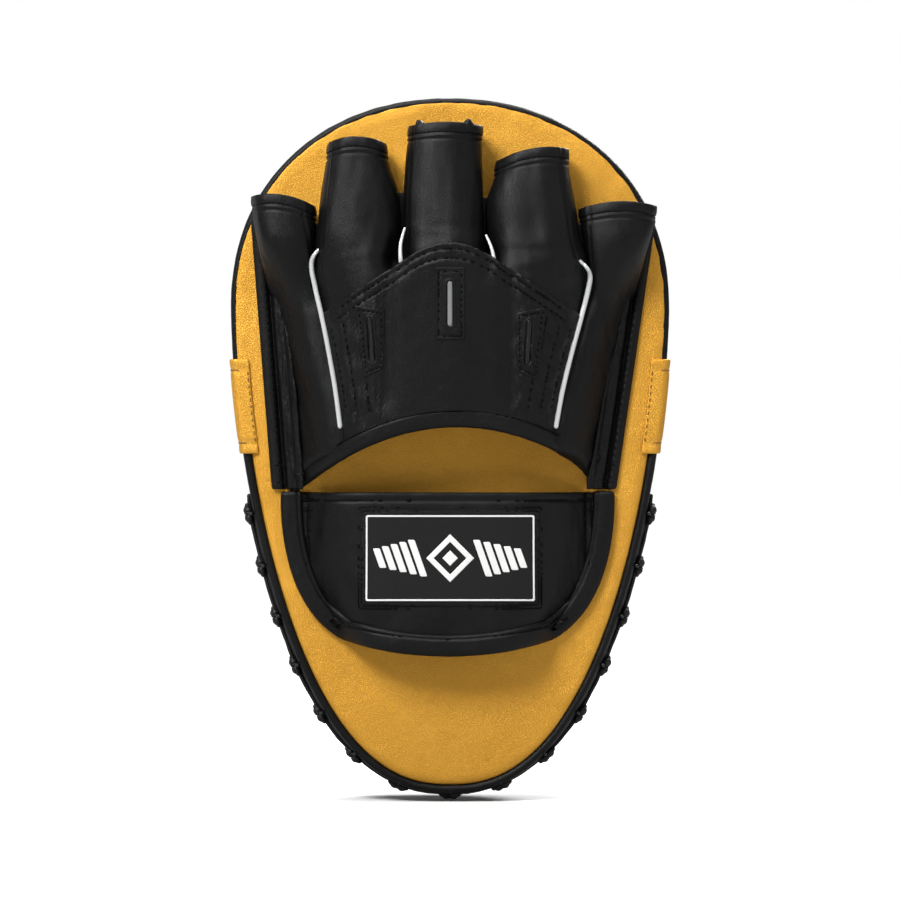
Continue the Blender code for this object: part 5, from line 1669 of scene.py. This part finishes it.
CUFF_TOP_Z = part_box("wrist_cuff")[1][2]
CUFF_DEPTH_Z = 68 * MM
CUFF_HALF_WIDTH = 70.5 * MM
CUFF_CENTRE_X = 1.0 * MM
CUFF_RISE = 18 * MM
CUFF_FLANGE = 9 * MM
CUFF_LEATHER = 2.2 * MM
CUFF_BINDING_WIDTH = 8 * MM
CUFF_FOOT = 0.9                              # share of the depth where the foot starts, and its sag
CUFF_SAG = 0.0955
CUFF_SMOOTHING = 12
CUFF_HALF_COUNT = 371
CUFF_SEAMS_X = (61.5 * MM, -58.5 * MM)       # upright seams, each between two rows of stitches
CUFF_TOP_SEAM_Z = CUFF_TOP_Z - 2.4 * MM


def cuff_half_width(drop):
    """Half-width of the cuff at a share of its drop: straight sides into a round foot."""
    return CUFF_HALF_WIDTH * (1 - drop ** 2.2) ** 0.29


def cuff_point(across, down):
    """x and z on the cuff: across from -1 to 1, down from 0 at the top to 1 at the foot."""
    drop = CUFF_FOOT * down
    sag = CUFF_SAG * CUFF_DEPTH_Z * (1 - across ** 2) * down ** 4
    return CUFF_CENTRE_X + cuff_half_width(drop) * across, CUFF_TOP_Z - CUFF_DEPTH_Z * drop - sag


def cuff_line(inset, count=370):
    """x and z along the cuff's edge, down one side, round the foot and up the other, moved inwards.

    It moves along the edge's own normals, averaged over their neighbours so that the corners of
    the foot stay round; near the top they are level, so that the ends keep their height.
    """
    side = np.linspace(0.0, 1.0, 120)
    foot = np.linspace(1.0, -1.0, 150)[1:-1]
    across = np.concatenate([np.ones(120), foot, -np.ones(120)])
    down = np.concatenate([side, np.ones(148), side[::-1]])
    line = even_line(np.stack(cuff_point(across, down), 1), count)
    along = np.gradient(line, axis=0)
    inwards = unit(np.stack([along[:, 1], -along[:, 0]], 1))
    near = CUFF_SMOOTHING
    padded = np.concatenate([inwards[:1].repeat(near, 0), inwards, inwards[-1:].repeat(near, 0)])
    window = np.ones(2 * near + 1) / (2 * near + 1)
    smooth = np.stack([np.convolve(padded[:, axis], window, "valid") for axis in (0, 1)], 1)
    level = np.ones((count, 1))
    level[near:-near] = 0.0
    smooth = unit(smooth * (1 - level) + level * inwards * np.array([1.0, 0.0]))
    line = line + smooth * inset
    return line[:, 0], line[:, 1]


def inside_cuff(across, down, inset):
    """x and z inside the cuff's edge moved inwards: the side's x at each z, the foot's z at each x."""
    line_x, line_z = cuff_line(inset, 2 * CUFF_HALF_COUNT - 1)
    line_x = line_x[:CUFF_HALF_COUNT] - CUFF_CENTRE_X
    line_z = line_z[:CUFF_HALF_COUNT]
    turn = int(np.argmax(np.abs(np.gradient(line_x)) > np.abs(np.gradient(line_z))))
    z = np.broadcast_to(CUFF_TOP_Z + (line_z[-1] - CUFF_TOP_Z) * down, (len(down), len(across)))
    for _ in range(12):                      # x depends on z and z on x, and the two settle
        x = across * np.interp(z, line_z[turn::-1], line_x[turn::-1])
        foot = np.interp(np.abs(x), line_x[:turn - 1:-1], line_z[:turn - 1:-1])
        z = CUFF_TOP_Z + (foot - CUFF_TOP_Z) * down
    return x + CUFF_CENTRE_X, z


def cuff_height(x, z):
    """Height of the cuff's outer face: a flat-topped arch that narrows with the cuff."""
    drop = np.clip((CUFF_TOP_Z - z) / CUFF_DEPTH_Z, 0.0, None)
    drop = drop - 0.06 * np.log1p(np.exp((drop - 0.80) / 0.06))
    half = cuff_half_width(np.clip(drop, 0.0, 0.95)) - CUFF_FLANGE
    share = np.clip(np.abs(x - CUFF_CENTRE_X) / half, 0.0, 1.0)
    base = GAP + CUFF_LEATHER
    return base + (CUFF_RISE - base) * np.cos(math.pi / 2 * share ** 3.4) ** 1.7


def on_cuff(x, z, lift):
    """Points over the cuff."""
    return normal_points(cuff_height, x, z, lift)


def cuff_piece(name, grid, thickness, masks=None):
    """A leather sheet shaped from the pad up over the cuff's arch, left unparented with its placement baked
    into its points.
    """
    piece = leather_sheet(name, grid, thickness, "black", body=None, masks=masks, rim_steps=6)
    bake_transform(piece)
    return piece


def make_cuff():
    """Wrist cuff: a soft panel with two upright seams, a bound edge round its foot, and its label."""
    across = np.linspace(1.0, -1.0, 240)
    down = np.linspace(1.0, 0.0, 110)[:, None]
    x, z = inside_cuff(across, down, CUFF_BINDING_WIDTH - 1.6 * MM)
    seams = bell(x, CUFF_SEAMS_X[0], 0.8 * MM) + bell(x, CUFF_SEAMS_X[1], 0.8 * MM)
    lift = 0.30 * MM * soft_noise(np.stack([x * 1.2, z], -1), 0.03, 121)
    folds = 0.45 * MM * soft_noise(np.stack([x * 1.6, z * 0.5], -1), 0.018, 122)
    lift = lift + folds * ease(np.abs(x - CUFF_CENTRE_X), 40 * MM, 60 * MM) - 0.7 * MM * seams
    lift = lift - 0.6 * MM * bell(z, CUFF_TOP_SEAM_Z, 0.8 * MM)
    covered = np.maximum(np.abs(across) ** 30, down ** 30)
    grid = on_cuff(x, z, lift * (1 - covered) - 0.5 * MM * covered)
    creased = 0.35 * ease(np.abs(x - CUFF_CENTRE_X), 44 * MM, 62 * MM)
    panel = cuff_piece("wrist_cuff_leather", grid, CUFF_LEATHER, {"creased": creased})
    stand_in(panel, "wrist_cuff")
    rows = []
    for share in np.linspace(0.0, 1.0, 22):
        x, z = cuff_line(CUFF_BINDING_WIDTH * share)
        rise = 1.1 * MM + 0.8 * MM * (1 - (2 * share - 1) ** 4) - 0.5 * MM * bell(share, 0.84, 0.06)
        rise = rise + 0.15 * MM * soft_noise(np.stack([x, z], -1), 0.016, 123)
        rows.append(on_cuff(x, z, rise))
    stand_in(cuff_piece("cuff_edge_binding", np.stack(rows), 2.9 * MM), "cuff_binding")
    x, z = cuff_line(0.84 * CUFF_BINDING_WIDTH)
    lines = [line_on(on_cuff, x[4:-4], z[4:-4], 1.35 * MM)]
    run = np.linspace(60 * MM, -57 * MM, 120)
    lines.append(line_on(on_cuff, run, CUFF_TOP_SEAM_Z, -0.3 * MM))
    run = np.linspace(CUFF_TOP_Z - 3 * MM, 98 * MM, 30)
    for row_x in (63.0 * MM, 60.0 * MM, -60.0 * MM, -57.0 * MM):
        lines.append(line_on(on_cuff, row_x, run))
    for x_low, x_high in ((57.0, 68.0), (-54.0, -65.0)):
        run = np.linspace(x_low, x_high, 12) * MM
        for below in (2.0 * MM, 6.5 * MM):
            lines.append(line_on(on_cuff, run, CUFF_TOP_Z - below, 0.2 * MM))
    stitches = stitch_row("cuff_stitches", lines, body=None)
    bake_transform(stitches)
    make_cuff_label()


CUFF_LABEL_THICK = 0.85 * MM
CUFF_PRINT_THICK = 0.16 * MM


def make_cuff_label():
    """Cuff label: a black patch in a double row of stitches, with a white line frame and the crest."""
    x, z, width, height = middle_of("cuff_label")

    def on_label(px, pz, lift):
        """Points over the label."""
        return on_cuff(px, pz, lift + CUFF_LABEL_THICK)

    def outline(grow, corner, *steps):
        """The label's outline, grown all round."""
        return moved(rounded_rectangle(width + grow, height + grow, corner, *steps), x, z)

    patch("cuff_label_backing", on_cuff, outline(3.5 * MM, 1.5 * MM), 0.55 * MM, "pebbled", "cuff", rings=16)
    label = patch("cuff_label_patch", on_cuff, outline(0.0, 1.0 * MM), CUFF_LABEL_THICK, "label_plain",
                  "cuff", rings=22)
    stand_in(label, "cuff_label")
    patch("cuff_label_frame", on_label, outline(-1.0 * MM, 0.8 * MM), CUFF_PRINT_THICK, "label_white",
          "cuff", rings=3, hole=outline(-2.5 * MM, 0.5 * MM))
    crest("cuff_label_crest", on_label, 0.88 * width, 0.44 * height, (x, z), "label_white",
          CUFF_PRINT_THICK, 0.0, "cuff")
    lines = []
    for grow, rise in ((2.6 * MM, 0.45 * MM), (5.6 * MM, 0.05 * MM)):
        border = outline(grow, 1.2 * MM, 4, 30)
        border = np.vstack([border, border[:1]])
        lines.append(line_on(on_cuff, border[:, 0], border[:, 1], rise))
    stitch_row("cuff_label_stitches", lines, body="cuff", pitch=2.6 * MM)


# ---------------------------------------------------------------- inside


def finish_inside():
    """Foams and board inside the pad keep their solids and get their own finishes."""
    for node, finish in (("backing_foam", "soft_foam"), ("shock_foam", "soft_foam"),
                         ("impact_foam", "dense_foam"), ("stiffener_board", "board")):
        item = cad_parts[node]
        for slot in item.material_slots:
            slot.material = FINISH[finish]


# ---------------------------------------------------------------- floor, light and camera


CAMERA_DISTANCE = 1.9
CAMERA_HEIGHT = 0.150
VIEW_HEIGHT = 0.385                    # height of the field of view at the mitt
SENSOR = 36.0


# name, place, height aimed at on the mitt's axis, width and height, watts
AREA_LIGHTS = (("key_hand_side", (0.55, 0.85, 1.05), 0.17, (0.50, 0.50), 21.0),
               ("fill_hand_side", (-1.2, 0.9, 0.30), 0.15, (0.5, 1.2), 2.6),
               ("key_strike_face", (-0.55, -0.85, 1.05), 0.17, (0.50, 0.50), 21.0),
               ("fill_strike_face", (1.2, -0.9, 0.30), 0.15, (0.5, 1.2), 2.6))
SUN_STRENGTH = 3.15
SUN_ANGLE = math.radians(50)
BOUNCED_STRENGTH = 0.22                # of the surroundings, against 1 for what the camera sees
FLOOR_REACH = 12.0


def area_light(name, place, height, size, power):
    """Soft rectangular light aimed at the mitt's axis."""
    data = bpy.data.lights.new(name, "AREA")
    data.shape = "RECTANGLE"
    data.size, data.size_y = size
    data.energy = power
    item = bpy.data.objects.new(name, data)
    item.location = place
    item.rotation_euler = (Vector((0.0, 0.0, height)) - Vector(place)).to_track_quat("-Z", "Y").to_euler()
    bpy.context.collection.objects.link(item)


def make_stage():
    """Pale floor, white surroundings, soft lights for the hand side and the strike face, camera."""
    mesh = bpy.data.meshes.new("floor")
    corners = [(FLOOR_REACH * x, FLOOR_REACH * y, 0.0) for x, y in ((-1, -1), (1, -1), (1, 1), (-1, 1))]
    mesh.from_pydata(corners, [], [(0, 1, 2, 3)])
    mesh.materials.append(pale_floor())
    floor = bpy.data.objects.new("floor", mesh)
    bpy.context.collection.objects.link(floor)
    world = bpy.data.worlds.new("white_room")
    world.use_nodes = True
    tree = world.node_tree
    background = tree.nodes["Background"]
    seen = wire(tree, "ShaderNodeLightPath").outputs["Is Camera Ray"]
    strength = wire(tree, "ShaderNodeMapRange", {"Value": seen, "To Min": BOUNCED_STRENGTH, "To Max": 1.0})
    tree.links.new(strength.outputs["Result"], background.inputs["Strength"])
    background.inputs["Color"].default_value = (1.0, 1.0, 1.0, 1.0)
    bpy.context.scene.world = world
    for light in AREA_LIGHTS:
        area_light(*light)
    overhead = bpy.data.lights.new("overhead", "SUN")
    overhead.energy = SUN_STRENGTH
    overhead.angle = SUN_ANGLE
    sun = bpy.data.objects.new("overhead", overhead)
    bpy.context.collection.objects.link(sun)
    data = bpy.data.cameras.new("camera")
    data.sensor_width = SENSOR
    data.lens = SENSOR * CAMERA_DISTANCE / VIEW_HEIGHT
    camera = bpy.data.objects.new("camera", data)
    camera.location = (0.0, CAMERA_DISTANCE, CAMERA_HEIGHT)
    camera.rotation_euler = (math.pi / 2, 0.0, math.pi)
    bpy.context.collection.objects.link(camera)
    bpy.context.scene.camera = camera
    bpy.context.scene.view_settings.view_transform = "Standard"


make_covers()
make_walls()
make_welts()
make_tabs()
make_lace()
make_face_patches()
make_knuckle_panel()
make_vents()
make_pipings()
for sleeve_finger in SLEEVES:
    make_sleeve(sleeve_finger)
make_flanges()
make_hem()
make_webbing()
make_cuff()
finish_inside()
make_stage()
